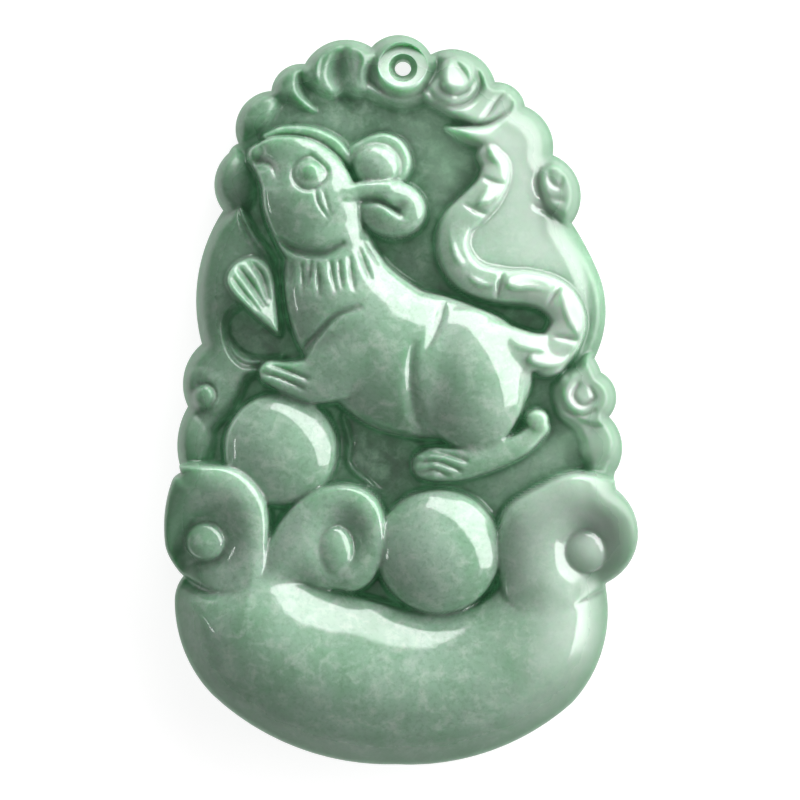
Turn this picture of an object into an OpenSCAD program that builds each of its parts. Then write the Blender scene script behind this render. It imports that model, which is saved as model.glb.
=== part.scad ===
// Carved jade pendant, one solid stone: lobed slab with a flat back, a rat on two balls over
// a boat-shaped ingot with three wave curls, inside a border of scrolls, with a drilled cord bore.
// It lies on its flat back, the carved face up (+Z) and the cord bore toward +Y.

/* [Pendant] */
// Overall width over the wave curls, mm
pendant_w = 35.4; // [28:0.1:45]
// Overall length from the hole lobe to the bottom of the boat, mm
pendant_l = 54.8; // [44:0.1:70]
// Overall thickness from the flat back to the top of the haunch, mm
pendant_t = 9.5; // [7:0.1:13]
// Thickness left at the recessed ground, mm
ground_t = 3.1; // [2:0.1:4]

/* [Rim] */
// Height of the widest line of the rim over the back, mm
rim_h = 1.5; // [0.8:0.1:2.5]
// Width over which the face rolls down to the rim, mm
rim_roll = 0.9; // [0.4:0.05:1.5]
// Inset of the back's flat behind the widest line, mm
back_inset = 0.9; // [0.4:0.1:1.5]

/* [Cord bore] */
// Diameter of the straight bore, mm
bore_d = 1.25; // [1:0.05:2]
// Diameter of the funnel mouth at the ring face, mm
mouth_d = 2.15; // [1.6:0.05:3]
// Diameter of the flat ring face round the mouth, mm
ring_d = 3.6; // [3:0.1:5]
// Tilt of the ring face toward the top of the pendant, degrees
ring_tilt = 30; // [0:1:30]
// Height of the ring face over the back, mm
ring_h = 5.1; // [4:0.1:6.5]
// Height where the straight bore opens into the funnel, mm
bore_h = 3.2; // [2:0.1:4]
// Height of the raised collar over the ring face before that is cut flat, mm
collar_over = 0.2; // [0.1:0.05:0.5]
// Fall of the collar for each mm outside the ring face, mm
collar_fall = 2.6; // [0.8:0.1:3]

/* [Carving] */
// Width over which the edges of the border's forms roll down, mm
border_wall = 0.7; // [0.3:0.05:1.2]
// Width over which the edges of the animal, the balls and the waves roll down, mm
form_wall = 0.3; // [0.15:0.05:0.8]
// Cells across the carved face (an even number)
cols = 52; // [36:2:56]
// Cells along the carved face
rows = 90; // [70:2:92]
// Pieces in each span of a drawn curve
steps = 3; // [2:1:6]
// Share of the neighbours' height that polishing gives each point of the face
polish = 0.45; // [0:0.05:0.6]

/* [Hidden] */

// One plan share is a hundredth of the length, one height share a hundredth of the thickness.
plan = pendant_l / 100;
tall = pendant_t / 100;
// Width of the outline as drawn below, share, and how far that is stretched to the named width
outline_w = 64.5;
stretch_x = pendant_w / (outline_w * plan);
// Middle of the cord bore, shares
hole = [0.4, 45.4];
// A hollow has fallen to exp(-hollow_fall) of its depth at its edge, and is cut out to this reach
hollow_fall = 1.2;
pit_reach = 2;
// The face is never lower than this share of the rim's height
least_face = 1.13;
// Where a round cap runs low it levels out at this share of its height, mixed over this height
cap_low = 0.25;
cap_blend = 3 * tall;
// The side has one step between rim and back, at these shares of its inset and of the rim's height
side_inset = 0.35;
side_z = 0.3;
// Cutters run past the stone by this much, the funnel by this multiple of its own depth
overshoot = 1;
funnel_run = 2;

// Outline, clockwise from the left end of the hole lobe:
// x share, y share, rise of the arc that runs to the next point (share, outward)
outline = [
    [-3.9, 48.4, 2.15],
    [4.2, 47.4, 2.33],
    [13, 43.6, 1.03],
    [17.1, 40.3, 1.37],
    [20.9, 33.6, 2.4],
    [23.5, 24.3, 0.21],
    [27.3, 17, 1.16],
    [26.6, 5.7, 0.07],
    [27.5, 3.8, 1.51],
    [28.6, -2.3, 1.37],
    [29.4, -9.9, -0.14],
    [29.4, -12.1, 3.65],
    [28, -25, 2.05],
    [23.5, -41.3, 2.53],
    [-0.5, -49.8, 2.67],
    [-25.6, -40.2, 1.31],
    [-30.8, -27.6, 0.34],
    [-29.6, -24.1, 0.34],
    [-32, -19.9, 0.55],
    [-31, -10.9, 0.21],
    [-29.8, -9.9, 1.03],
    [-29, -0.9, 1.51],
    [-27.1, 7.7, 1.98],
    [-24.2, 26, 1.57],
    [-23.4, 33.9, 0.21],
    [-22.1, 35.2, 2.19],
    [-17.6, 42.4, 1.23],
    [-13, 46.1, 2.05],
];

// Corners of the outline where the four sides of the face grid meet
top_left = 26;
top_right = 3;
low_right = 13;
low_left = 15;

// Upper and lower end of the face grid's spine, shares of Y
spine_top = 17;
spine_low = -20;
// Share by which the cells near the rim are narrower than the ones by the spine
rim_crowd = 0.25;

// Carving work, in the order the stone is worked. Plan values are plan shares, heights,
// depths and blends are height shares, turns are degrees.
// A form over 0 is the power of a dome, a form under 0 is minus the half angle of a round cap.
// "slab":  edge roll, rim roll, foot, top, form, blend, [rise per x, rise per y, x, y], [[x, y], ...]
// "ridge": foot, form, blend, [[x, y, half width, top], ...]
// "dome":  x, y, half width, half length, turn, foot, top, form, blend
// "cut":   [[x, y, half width, depth], ...]
// "pit":   x, y, half width, half length, turn, depth

border_work = [
    // broad slab right of the tail
    ["slab", 2.5, 4.1, 32, 63, -48, 4, [-2, 0, 12.3, 27.3],
        [[6, 37.1], [8.4, 37.5], [11.7, 37.8], [14.3, 39.7], [16.3, 42.1], [27.2, 40.8], [34, 27.2],
         [34, 9.5], [27.2, 2.1], [23.8, 3.7], [21.8, 6.5], [23.7, 9.5], [22.6, 12.5], [19.7, 14.1],
         [13.6, 15.2], [9, 17.4], [7.5, 20.6], [8.2, 23.9], [12.3, 28.3], [12.5, 31.5], [11.2, 33.7],
         [8.4, 35.1]]],
    // left rim
    ["slab", 2.5, 4.7, 32, 55, -50, 4, [0, 0, 0, 0],
        [[-24.3, 25.1], [-21.8, 26.6], [-20.2, 23.4], [-18.3, 20.8], [-16.9, 18.2], [-18.8, 15.7],
         [-21, 13], [-23, 11.1], [-23, 8.4], [-21.4, 5.8], [-18.5, 4.8], [-15.3, 5.4], [-15.5, 4.3],
         [-20.2, 2.9], [-21.8, -0.1], [-25.2, -2.8], [-28.6, -0.1], [-32.7, 9.5], [-32, 21.7]]],
    // upper crescent of the left rim
    ["slab", 0.3, 0, 32, 54, -50, 1, [-2.38, -1.38, -19.6, 22.4],
        [[-21.9, 26.9], [-20.7, 25.4], [-19.4, 23], [-17.9, 20.9], [-16.8, 18.7], [-18.1, 19.2],
         [-19.8, 20.9], [-21.1, 23], [-21.9, 25]]],
    // lower crescent of the left rim
    ["slab", 0.3, 0, 32, 52, -50, 1, [-1.69, -2.15, -21.2, 6.2],
        [[-23.9, 10.3], [-22.6, 8], [-21, 6.5], [-18.8, 5.9], [-15.4, 6.1], [-17.7, 5], [-20.5, 4.4],
         [-22.5, 5.2], [-23.7, 7.4]]],
    // lower left lobes
    ["slab", 1.9, 3.6, 32, 51, -50, 4, [0, 0, 0, 0],
        [[-29.7, 8.1], [-25.2, 6.8], [-21.8, 2], [-22.4, -1.4], [-25.2, -4.4], [-26.3, -9.6],
         [-32.7, -11], [-34.1, -0.1]]],
    // upper left lobe
    ["dome", -23.4, 30.1, 3.7, 5.2, 20, 31, 51, -50, 4],
    // large upper left lobe
    ["slab", 2.5, 3.6, 32, 47, -50, 6, [0, 0, 0, 0],
        [[-24.3, 34], [-24.3, 40.9], [-20.5, 45], [-16.9, 43], [-16.1, 41.1], [-16.9, 38.7], [-18.8, 37],
         [-21.3, 35.4]]],
    // petal beside the top left scroll
    ["slab", 1.9, 2.7, 32, 49, -55, 4, [0, 0, 0, 0],
        [[-18, 41.4], [-18, 44.9], [-13.6, 47.7], [-12, 45.2], [-13.2, 43.9], [-13, 41.9], [-11.3, 39.5],
         [-12.8, 39.5], [-15, 40.6], [-16.6, 40.8]]],
    // top left scroll
    ["slab", 2.1, 2.5, 32, 52, -52, 5, [0, 0, 0, 0],
        [[-13.6, 43.8], [-13.4, 47.7], [-9.5, 50.4], [-5.2, 50.4], [-2.7, 47.4], [-3.8, 44.4],
         [-4.1, 41.9], [-5.7, 41.1], [-7.6, 41.4], [-9.5, 41.1], [-11.7, 42.2]]],
    // hollow of the top left scroll
    ["cut", [[-7.7, 47.7, 0.8, 3.2], [-8.3, 46.1, 1.2, 8.4], [-8.3, 44.1, 1.4, 12.6],
        [-7.5, 42, 1.2, 10.5], [-6.4, 40.4, 1, 3.2]]],
    // inner crescent of the top left scroll
    ["ridge", 34, -50, 1, [[-9, 47.9, 0.5, 49], [-10.6, 46.8, 0.8, 54], [-11.3, 45, 1, 55],
        [-10.9, 43.1, 0.8, 53], [-9.3, 41.8, 0.5, 45]]],
    // crest between the top left scroll and the hole lobe
    ["ridge", 34, -50, 2, [[-6.5, 48.3, 0.7, 49], [-4.9, 46.5, 1, 55], [-5.3, 44.2, 1, 54],
        [-4.8, 42.1, 0.8, 51]]],
    // band under the hole lobe
    ["ridge", 29, -50, 2, [[-4.6, 42.6, 1.2, 49], [-2.4, 41.4, 1.2, 53], [0.3, 40.8, 1.2, 53],
        [2.7, 41.4, 1.2, 53]]],
    // hole lobe
    ["dome", 0.4, 45, 5.1, 4.9, 0, 27, 57, 0.35, 1],
    // top right scroll
    ["slab", 1, 1.6, 32, 54, -52, 4, [-1.31, -1.31, 9.6, 42.6],
        [[2.7, 41.4], [4.9, 44.9], [5.5, 49], [10.9, 49], [14.7, 43.6], [17.7, 42.5], [16.6, 39.7],
         [14.3, 38.1], [10.9, 37.1], [7.6, 38.1], [5.5, 39.2]]],
    // outer spiral of the top right scroll
    ["cut", [[3.3, 42.8, 0.5, 3.2], [4.9, 40.7, 0.5, 5.8], [7.1, 39.9, 0.5, 6.3], [9.5, 40.7, 0.5, 6.3],
        [10.9, 42.6, 0.5, 5.3], [10.6, 44.5, 0.4, 2.6]]],
    // middle of the top right scroll
    ["slab", 0.5, 0, 38, 64, -45, 2, [-1.96, -1.96, 7.8, 44.4],
        [[5.2, 44.9], [6.3, 46.6], [8.2, 47], [10.1, 45.9], [10.5, 43.8], [9.3, 41.9], [7.1, 41.3],
         [5.4, 42.4]]],
    // inner spiral of the top right scroll
    ["cut", [[7.2, 46.5, 0.3, 1.3], [8, 45.2, 0.4, 2.6], [9, 43.8, 0.4, 2.9], [9, 42.3, 0.4, 2.6],
        [7.6, 41.2, 0.3, 1.3]]],
    // line beside the leaf tip
    ["cut", [[10.6, 37.4, 0.3, 1.6], [12, 39, 0.4, 3.2], [13.3, 40.9, 0.4, 2.6], [14.7, 42.3, 0.3, 1.1]]],
    // small right curl
    ["slab", 1.6, 2.5, 29, 56, -45, 4, [-1.08, -0.31, 20.3, 28.7],
        [[18.5, 31], [20.2, 32.6], [22.6, 32.6], [27.3, 29.2], [27.3, 25.1], [23.9, 23.4], [20.7, 25],
         [18.8, 27.7]]],
    // outer line of the small right curl
    ["cut", [[19.1, 31.4, 0.4, 1.1], [18.7, 29.3, 0.5, 1.7], [19.8, 27.6, 0.5, 1.9],
        [22, 27.2, 0.4, 1.1]]],
    // inner line of the small right curl
    ["cut", [[20.1, 31.2, 0.4, 1.1], [20.4, 29.7, 0.4, 1.9], [21.5, 29, 0.4, 1.9], [22, 30.1, 0.3, 1.1]]],
    // line below the small right curl
    ["cut", [[18.5, 26.3, 0.5, 1.1], [20.9, 25.3, 0.5, 2.1], [23.6, 24.1, 0.5, 3.2]]],
    // lower right lobes
    ["slab", 1.9, 2.7, 27, 52, -45, 4, [-1.23, 0, 24, -2.8],
        [[20.7, 2.1], [23.5, 4], [25.9, 6.5], [32.7, 5.4], [35.5, -11.8], [25.9, -11.8], [25.1, -8],
         [23.7, -4.4], [21.3, -2]]],
    // lower right scroll
    ["slab", 1.6, 1.9, 29, 59, -45, 3, [-1.54, 0, 22.6, 0.6],
        [[21.5, 3.2], [23.7, 4.6], [26.2, 6.5], [32.7, 4], [32.7, -2.8], [28.6, -4.2], [24.8, -3.7],
         [22.1, -1.7], [21, 0.7]]],
    // outer spiral of the lower right scroll
    ["cut", [[22.8, 3.2, 0.4, 2.6], [21.7, 1, 0.5, 4.4], [22.5, -1.2, 0.5, 4.4], [24.7, -2.1, 0.4, 3.2],
        [26.3, -1.4, 0.4, 1.6]]],
    // inner spiral of the lower right scroll
    ["cut", [[24.2, 2.1, 0.4, 2.1], [23.5, 0.5, 0.4, 3.4], [24.7, -0.7, 0.4, 3.4], [26.3, 0.2, 0.4, 2.6],
        [25.8, 1.6, 0.3, 1.3]]],
    // lowest right lobe
    ["dome", 27.2, -5.8, 2.7, 3.7, -15, 29, 52, -45, 3],
    // small left scroll
    ["ridge", 34, -48, 2, [[-28.8, 2.1, 1.6, 51], [-27.2, 3.7, 1.6, 53], [-24.4, 2.6, 1.6, 55],
        [-22.6, 0.9, 1, 51]]],
    // middle of the small left scroll
    ["dome", -26, 0.5, 2.5, 2.6, 0, 34, 59, -48, 1],
    // lowest left lobe
    ["dome", -28.2, -5.5, 3, 4.4, 0, 29, 55, -42, 3],
    // step on the ground under the belly
    ["ridge", 31, -50, 1, [[-7.8, -2, 0.5, 36], [-6.8, -5.8, 0.5, 39], [-6.9, -8.8, 0.5, 39],
        [-4.4, -11.2, 0.5, 39], [-2.2, -12.9, 0.4, 36]]],
];

waves_work = [
    // boat body
    ["slab", 14.8, 15.1, 32, 98, -45, 0, [0, 0, 0, 0],
        [[-33.9, -22.6], [-28.5, -21.2], [-23.3, -19.9], [-18.7, -19], [-13.6, -22.7], [-8.7, -25.7],
         [-3.5, -27], [1.6, -28.3], [6.2, -28.7], [10.8, -27.3], [13.7, -24.5], [15.9, -20.7],
         [21.7, -17.7], [32.5, -17.7], [35.2, -40.7], [16.3, -54.3], [-13.6, -54.3], [-33.9, -43.5]]],
    // left wave
    ["slab", 3.6, 3.3, 32, 89, -50, 15, [0, 0.92, -24.6, -13.8],
        [[-33.9, -10.9], [-30.1, -8.8], [-26.5, -8.5], [-22.3, -9], [-19.3, -11.2], [-17.6, -14.7],
         [-17.5, -19.7], [-18.2, -23.7], [-21, -25.9], [-25.1, -26.1], [-27.8, -25], [-29.6, -24],
         [-33.9, -23.1]]],
    // hollow of the left wave
    ["pit", -27, -19.3, 4.9, 5.5, 15, 27],
    // low rim of the left wave
    ["pit", -29.7, -22, 1.9, 1.9, 0, 11],
    // eye of the left wave
    ["dome", -26.2, -19.1, 3, 2.9, 0, 34, 78, -48, 1],
    // spiral round that eye
    ["ridge", 34, -50, 1, [[-28.7, -17.9, 0.2, 69], [-28, -16.7, 0.3, 74], [-25.9, -16.1, 0.4, 76],
        [-24.2, -16.9, 0.4, 76], [-23.4, -18.7, 0.4, 76], [-23.6, -20.5, 0.3, 74],
        [-24.7, -21.6, 0.2, 69]]],
    // middle wave
    ["slab", 4.1, 0, 32, 89, -50, 5, [0.46, 0.46, -6.8, -13.8],
        [[-21, -32.6], [-20.6, -25.9], [-16.8, -16.9], [-12.9, -12.8], [-8.8, -11.2], [-4.9, -11.7],
         [-2.3, -14.3], [-1.6, -19.1], [-3, -23.8], [-5.7, -26.1], [-8.7, -25.9], [-11.1, -25.6],
         [-13.6, -24.9], [-15.7, -26.1], [-17.9, -29.7]]],
    // hollow of the middle wave
    ["pit", -7.7, -19, 3.3, 4.4, 0, 16],
    // eye of the middle wave
    ["dome", -8.6, -20.4, 2.7, 3.8, 0, 36, 84, -48, 1],
    // spiral round that eye
    ["ridge", 36, -50, 1, [[-10.5, -17.6, 0.2, 74], [-9.4, -16.8, 0.3, 77], [-7.8, -16.7, 0.4, 79],
        [-6.5, -17.7, 0.4, 79], [-5.9, -19.5, 0.4, 78], [-6.6, -21.7, 0.3, 76], [-7.7, -23.3, 0.2, 73]]],
    // right wave
    ["slab", 4.9, 4.1, 32, 93, -48, 17, [0.15, 0.92, 20.5, -13.8],
        [[13.6, -26.1], [12.9, -20.1], [14.1, -14.7], [18.7, -11.5], [23.7, -9.6], [29.8, -10.9],
         [35.3, -13.6], [35.3, -23.8], [30.5, -24.8], [27.7, -25.8], [23.7, -28], [19.7, -29.6],
         [16.3, -28.8]]],
    // hollow of the right wave
    ["pit", 25, -19.8, 3.8, 4.4, 0, 20],
    // eye of the right wave
    ["dome", 25.2, -20.4, 3.3, 3.3, 0, 38, 82, -48, 1],
    // spiral round that eye
    ["ridge", 38, -50, 1, [[22, -19.1, 0.2, 72], [22.8, -17.9, 0.3, 77], [25.1, -17.3, 0.4, 79],
        [27.3, -18.1, 0.4, 79], [28.3, -19.8, 0.4, 78], [28.1, -21.4, 0.2, 73]]],
];

balls_work = [
    // left ball
    ["dome", -16.2, -6.7, 7.9, 7.9, 0, 27, 88, -50, 0],
    // right ball
    ["dome", 5.2, -20.5, 8.7, 8.7, 0, 29, 95, -50, 0],
];

tail_work = [
    // tail
    ["ridge", 27, -47, 0, [[20, 5.9, 2.9, 79], [22, 8.3, 2.7, 78], [22.7, 11, 2.6, 77],
        [21.1, 13.7, 2.6, 77], [17.8, 15.1, 2.5, 77], [13.5, 15.5, 2.5, 77], [9.4, 16.9, 2.5, 77],
        [7.3, 20.2, 2.5, 77], [7.7, 23.7, 2.5, 76], [10.3, 26.4, 2.5, 74], [12.3, 28.9, 2.3, 72],
        [12.9, 31.6, 2.1, 68], [11.8, 33.4, 1.6, 64]]],
    // flat of the tail
    ["slab", 0.3, 0, 32, 68, -50, 1, [-2.49, -1.16, 13.3, 32.4],
        [[11.7, 34.6], [13.2, 34.4], [14.2, 32.6], [14.3, 30.1], [13.2, 29.9], [12.8, 31.6], [11.8, 33]]],
    // flat of the tail
    ["slab", 0.3, 0, 32, 74, -50, 1, [-2.35, -1.36, 12.2, 28],
        [[12, 29.4], [14.1, 29.4], [13.5, 27.7], [12, 26.3], [10.1, 26.3], [10.9, 28.1]]],
    // flat of the tail
    ["slab", 0.3, 0, 32, 77, -50, 1, [-2.49, -1.16, 7.5, 21.3],
        [[6.5, 24.5], [9.1, 24.4], [8.2, 22.6], [8.2, 20.3], [9.1, 18.4], [8.3, 17.6], [6.9, 19.1],
         [6.3, 22]]],
    // flat of the tail
    ["slab", 0.3, 0, 32, 77, -50, 1, [-1.01, -2.77, 11.4, 16.4],
        [[8.8, 17.9], [10.5, 17.2], [13.9, 16.9], [13.3, 15.3], [10.9, 15], [9.1, 16.1]]],
    // flat of the tail
    ["slab", 0.3, 0, 32, 77, -50, 1, [-0.92, -2.84, 17.5, 15.9],
        [[14.3, 16.9], [16.7, 17.5], [19.4, 16.8], [20.9, 15.3], [20.1, 14.3], [17.7, 14.6], [15.4, 14.6],
         [14, 15.4]]],
    // flat of the tail
    ["slab", 0.3, 0, 32, 77, -50, 1, [-2.49, -1.16, 23.1, 11.8],
        [[21.2, 14.9], [22.3, 14.7], [23.7, 12.6], [24.5, 9.9], [24.1, 8.4], [22.7, 9.6], [21.6, 12.2]]],
    // flat of the tail
    ["slab", 0.3, 0, 32, 80, -50, 1, [-1.91, -1.91, 20.5, 6],
        [[17.3, 6.5], [20.8, 7.9], [22.7, 7.7], [23.8, 6.9], [22.3, 4.7], [20, 4], [17.3, 4.7]]],
    // line across the tail
    ["cut", [[11.2, 30.2, 0.3, 2.1], [12.8, 29.5, 0.4, 3.2], [14.6, 29.1, 0.3, 1.6]]],
    // line across the tail
    ["cut", [[8.9, 26.4, 0.3, 1.6], [10.5, 25.6, 0.4, 3.2], [12.1, 25, 0.3, 2.1]]],
    // line across the tail
    ["cut", [[13.1, 13.2, 0.3, 1.6], [13.4, 15.2, 0.4, 3.7], [13.8, 17.2, 0.3, 2.1]]],
    // line across the tail
    ["cut", [[20, 12.7, 0.3, 1.6], [20.9, 14.2, 0.4, 3.7], [22, 15.6, 0.3, 2.1]]],
    // line across the tail
    ["cut", [[20.8, 8.6, 0.3, 1.6], [22.7, 8.3, 0.4, 3.7], [24.8, 7.8, 0.3, 2.1]]],
];

far_leg_work = [
    // raised paw
    ["slab", 1.1, 0, 29, 79, -50, 0, [-2.15, -1.54, -20.3, 13.6],
        [[-23.6, 16.6], [-22.4, 18.7], [-20.2, 19.6], [-18.1, 19.1], [-16.9, 17.3], [-16.4, 13.2],
         [-16.2, 8.9], [-18.2, 10], [-20.9, 12.4], [-23, 14.6]]],
    // toe line
    ["cut", [[-21.6, 17.7, 0.3, 3.7], [-20, 15.6, 0.4, 5.3], [-18.3, 12.9, 0.4, 2.6]]],
    // toe line
    ["cut", [[-20.1, 18.7, 0.3, 2.6], [-18.6, 16.7, 0.4, 5.3], [-17.8, 13.7, 0.4, 3.2]]],
];

rat_work = [
    // neck and barrel
    ["ridge", 21, -50, 0, [[-9.4, 20.1, 6, 86], [-8.9, 16.6, 7.1, 91], [-6.5, 11.5, 8.5, 94],
        [-1.1, 6.1, 9.9, 97], [4.3, 4.5, 10, 96], [9.1, 3.7, 9, 95]]],
    // haunch
    ["dome", 9.4, 2.9, 7.8, 10.1, 8, 21, 100, -50, 3],
    // root of the tail
    ["ridge", 25, -48, 5, [[12.4, 7.5, 3.6, 89], [17.2, 6.5, 3, 84], [20.5, 6.7, 2.6, 78]]],
    // flat of the tail root
    ["slab", 0.3, 0, 32, 85, -50, 1, [-1.4, -2.42, 17, 7.3],
        [[14.4, 8.9], [15.8, 8.8], [17.7, 8.1], [19.8, 7.3], [19.8, 6.3], [17.7, 6.2], [15.5, 6.7],
         [14.4, 7.5]]],
    // hind foot
    ["ridge", 25, -48, 5, [[18.9, -3.7, 1.5, 79], [16.2, -6, 1.8, 80], [12.1, -7.6, 2.2, 82],
        [8.1, -8.6, 2.5, 83], [4.9, -8.7, 2.6, 83], [3.8, -8.8, 2.3, 81]]],
    // heel
    ["dome", 18.5, -2.8, 1.8, 1.8, 0, 25, 82, -48, 3],
    // shoulder and near foreleg
    ["ridge", 23, -48, 3, [[-3, 8, 6.3, 96], [-7, 5.3, 5.2, 94], [-11, 2.9, 3.6, 88], [-14.8, 3, 2.5, 83],
        [-17.4, 3.7, 1.9, 80]]],
    // snout and cheek
    ["ridge", 27, -46, 2, [[-18.7, 33, 2.1, 72], [-16.2, 32.2, 3.8, 82], [-13.4, 29.9, 5.7, 92],
        [-12, 26.7, 6.7, 95], [-10.9, 23.1, 6.2, 92]]],
    // fold behind the crown
    ["ridge", 27, -50, 3, [[-18.2, 35.9, 0.6, 59], [-15.6, 36.6, 0.9, 63], [-11.9, 36.2, 1.1, 67],
        [-8.9, 34.7, 1.2, 71], [-6.8, 32.4, 1, 69]]],
    // crease under the jaw
    ["cut", [[-16.1, 21.5, 0.5, 5.3], [-13.8, 20.2, 0.7, 8.4], [-10.5, 19.9, 0.7, 8.4],
        [-7.8, 21.1, 0.5, 4.2]]],
    // mouth
    ["cut", [[-20.8, 31.8, 0.5, 5.3], [-19.4, 32.4, 0.5, 5.8], [-17.8, 32.2, 0.5, 4.2],
        [-16.9, 31.2, 0.5, 3.2], [-16.6, 30, 0.4, 1.3]]],
    // crease over the shoulder
    ["cut", [[-14, 5.9, 0.4, 5.3], [-11.3, 8.7, 0.5, 6.3], [-8.6, 11.4, 0.5, 5.3],
        [-5.4, 12.6, 0.4, 2.6]]],
    // crease before the haunch
    ["cut", [[1.9, 7.4, 0.7, 2.1], [1.5, 3.7, 0.8, 4.2], [2, -1.4, 1, 3.7], [3.8, -5.5, 0.8, 2.1]]],
    // notch over the haunch
    ["cut", [[5.9, 13.4, 0.5, 1.6], [5.5, 11.5, 0.7, 4.2], [4.6, 8.8, 0.7, 3.7], [3.5, 6.4, 0.5, 1.1]]],
    // hollow round the eye
    ["cut", [[-12, 33, 0.4, 3.2], [-13.9, 32, 0.4, 3.4], [-14.3, 30, 0.4, 3.4], [-13, 28.5, 0.4, 3.4],
        [-10.9, 28.8, 0.4, 3.4], [-9.8, 30.8, 0.4, 3.2], [-12, 33, 0.4, 3.2]]],
    // eye
    ["dome", -12, 30.7, 1.6, 1.6, 0, 69, 96, -50, 2],
    // far ear
    ["slab", 1.2, 0, 29, 71, -50, 0, [0, 0, 0, 0],
        [[-7.1, 33.7], [-5.2, 35.6], [-2.2, 36.5], [0.5, 35.3], [1.8, 32.6], [1.1, 30.1], [-1.4, 28.5],
         [-5.4, 28.8]]],
    // bulb behind the far ear
    ["dome", -3.1, 31.7, 3.4, 3.1, -20, 36, 83, -50, 2],
    // near ear
    ["dome", -1.1, 25.9, 4.9, 4.1, -10, 27, 88, -48, 2],
    // fold in the near ear
    ["cut", [[-4.9, 26.9, 0.4, 4.2], [-2.7, 26.8, 0.4, 9.5], [-0.8, 25.8, 0.4, 8.4],
        [0.3, 24.9, 0.4, 3.2]]],
    // bridge from the brow to the near ear
    ["ridge", 53, -50, 8, [[-7, 27.9, 1.4, 86], [-5.4, 28.3, 1.4, 86], [-3.5, 28.6, 1.2, 86],
        [-1.6, 28.8, 1.1, 85]]],
    // hollow of the near ear
    ["pit", 0, 26, 1.2, 1, 0, 5],
];

// Small helpers
function clamp(v) = max(0, min(1, v));
function turn_mod(a) = ((a % 360) + 360) % 360;
function blend(a, b, k) =
    k <= 0 ? max(a, b) : let (h = clamp(0.5 + (a - b) / (2 * k))) b + (a - b) * h + k * h * (1 - h);
function roll_of(t) = sqrt(1 - (1 - clamp(t)) * (1 - clamp(t)));

// Height under the top of a round cap of half width w and half angle a, at share q from its crest
function cap_drop(q, w, a) = w / sin(a) * (1 - sqrt(1 - pow(q * sin(a), 2)));
// A cap never runs lower than this share of its height over the foot
function cap_z(z, foot, top) = blend(z, foot + (top - foot) * cap_low, cap_blend);
// Cross-section of a raised form: a dome, or a cap whose edge rolls down over the wall width
function crown(q, foot, top, w, form, wall) =
    form > 0 ? foot + (top - foot) * pow(1 - q * q, form) :
    foot + (cap_z(top - cap_drop(q, w, -form), foot, top) - foot) * roll_of((1 - q) * w / wall);

// Smooth curves through the drawn points
function bend(a, b, c, d, t) =
    0.5 * (2 * b + (c - a) * t + (2 * a - 5 * b + 4 * c - d) * t * t + (3 * b - a - 3 * c + d) * t * t * t);
function knot(p, i) =
    i < 0 ? 2 * p[0] - p[1] : i >= len(p) ? 2 * p[len(p) - 1] - p[len(p) - 2] : p[i];
function path_curve(p) = [
    for (i = [0 : len(p) - 2]) for (k = [0 : steps - 1])
        bend(knot(p, i - 1), p[i], p[i + 1], knot(p, i + 2), k / steps),
    p[len(p) - 1]
];
function loop_curve(p) = let (n = len(p)) [
    for (i = [0 : n - 1]) for (k = [0 : steps - 1])
        bend(p[(i + n - 1) % n], p[i], p[(i + 1) % n], p[(i + 2) % n], k / steps)
];

// Outline arcs in mm: [start, end, centre, radius, start angle, sweep]
function arc_between(p, q, rise) =
    let (
        c = norm(q - p),
        out = [p[1] - q[1], q[0] - p[0]] / c,
        r = (c * c / 4 + rise * rise) / (2 * rise),
        m = (p + q) / 2 - out * (r - rise),
        a = atan2(p[1] - m[1], p[0] - m[0]),
        b = atan2(q[1] - m[1], q[0] - m[0])
    ) [p, q, m, abs(r), a, rise > 0 ? -turn_mod(a - b) : turn_mod(b - a)];
function arc_point(a, f) = a[2] + a[3] * [cos(a[4] + a[5] * f), sin(a[4] + a[5] * f)];
function arc_gap(a, p) =
    let (
        v = p - a[2],
        g = atan2(v[1], v[0]),
        t = (a[5] < 0 ? turn_mod(a[4] - g) : turn_mod(g - a[4])) / abs(a[5])
    ) t <= 1 ? abs(norm(v) - a[3]) : min(norm(p - a[0]), norm(p - a[1]));
arcs = [for (i = [0 : len(outline) - 1])
    let (p = outline[i], q = outline[(i + 1) % len(outline)])
    arc_between([p[0], p[1]] * plan, [q[0], q[1]] * plan, p[2] * plan)];
function rim_gap(p) = min([for (a = arcs) arc_gap(a, p)]);

// A side of the grid: arcs from corner a to corner b, with whole cells given to each arc
function side_arcs(a, b) = [for (i = [0 : (b - a + len(arcs)) % len(arcs) - 1]) arcs[(a + i) % len(arcs)]];
function arc_length(a) = a[3] * abs(a[5]) * PI / 180;
function run(s, i) = i < 0 ? 0 : arc_length(s[i]) + run(s, i - 1);
function side(a, b, cells) =
    let (s = side_arcs(a, b), n = len(s), whole = run(s, n - 1))
    [for (i = [0 : n - 1]) [round(cells * run(s, i - 1) / whole), round(cells * run(s, i) / whole), s[i]]];
top_side = side(top_left, top_right, cols);
right_side = side(top_right, low_right, rows);
low_side = side(low_right, low_left, cols);
left_side = side(low_left, top_left, rows);
function side_point(s, u, i = 0) =
    u <= s[i][1] || i == len(s) - 1
        ? arc_point(s[i][2], (u - s[i][0]) / (s[i][1] - s[i][0]))
        : side_point(s, u, i + 1);

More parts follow.
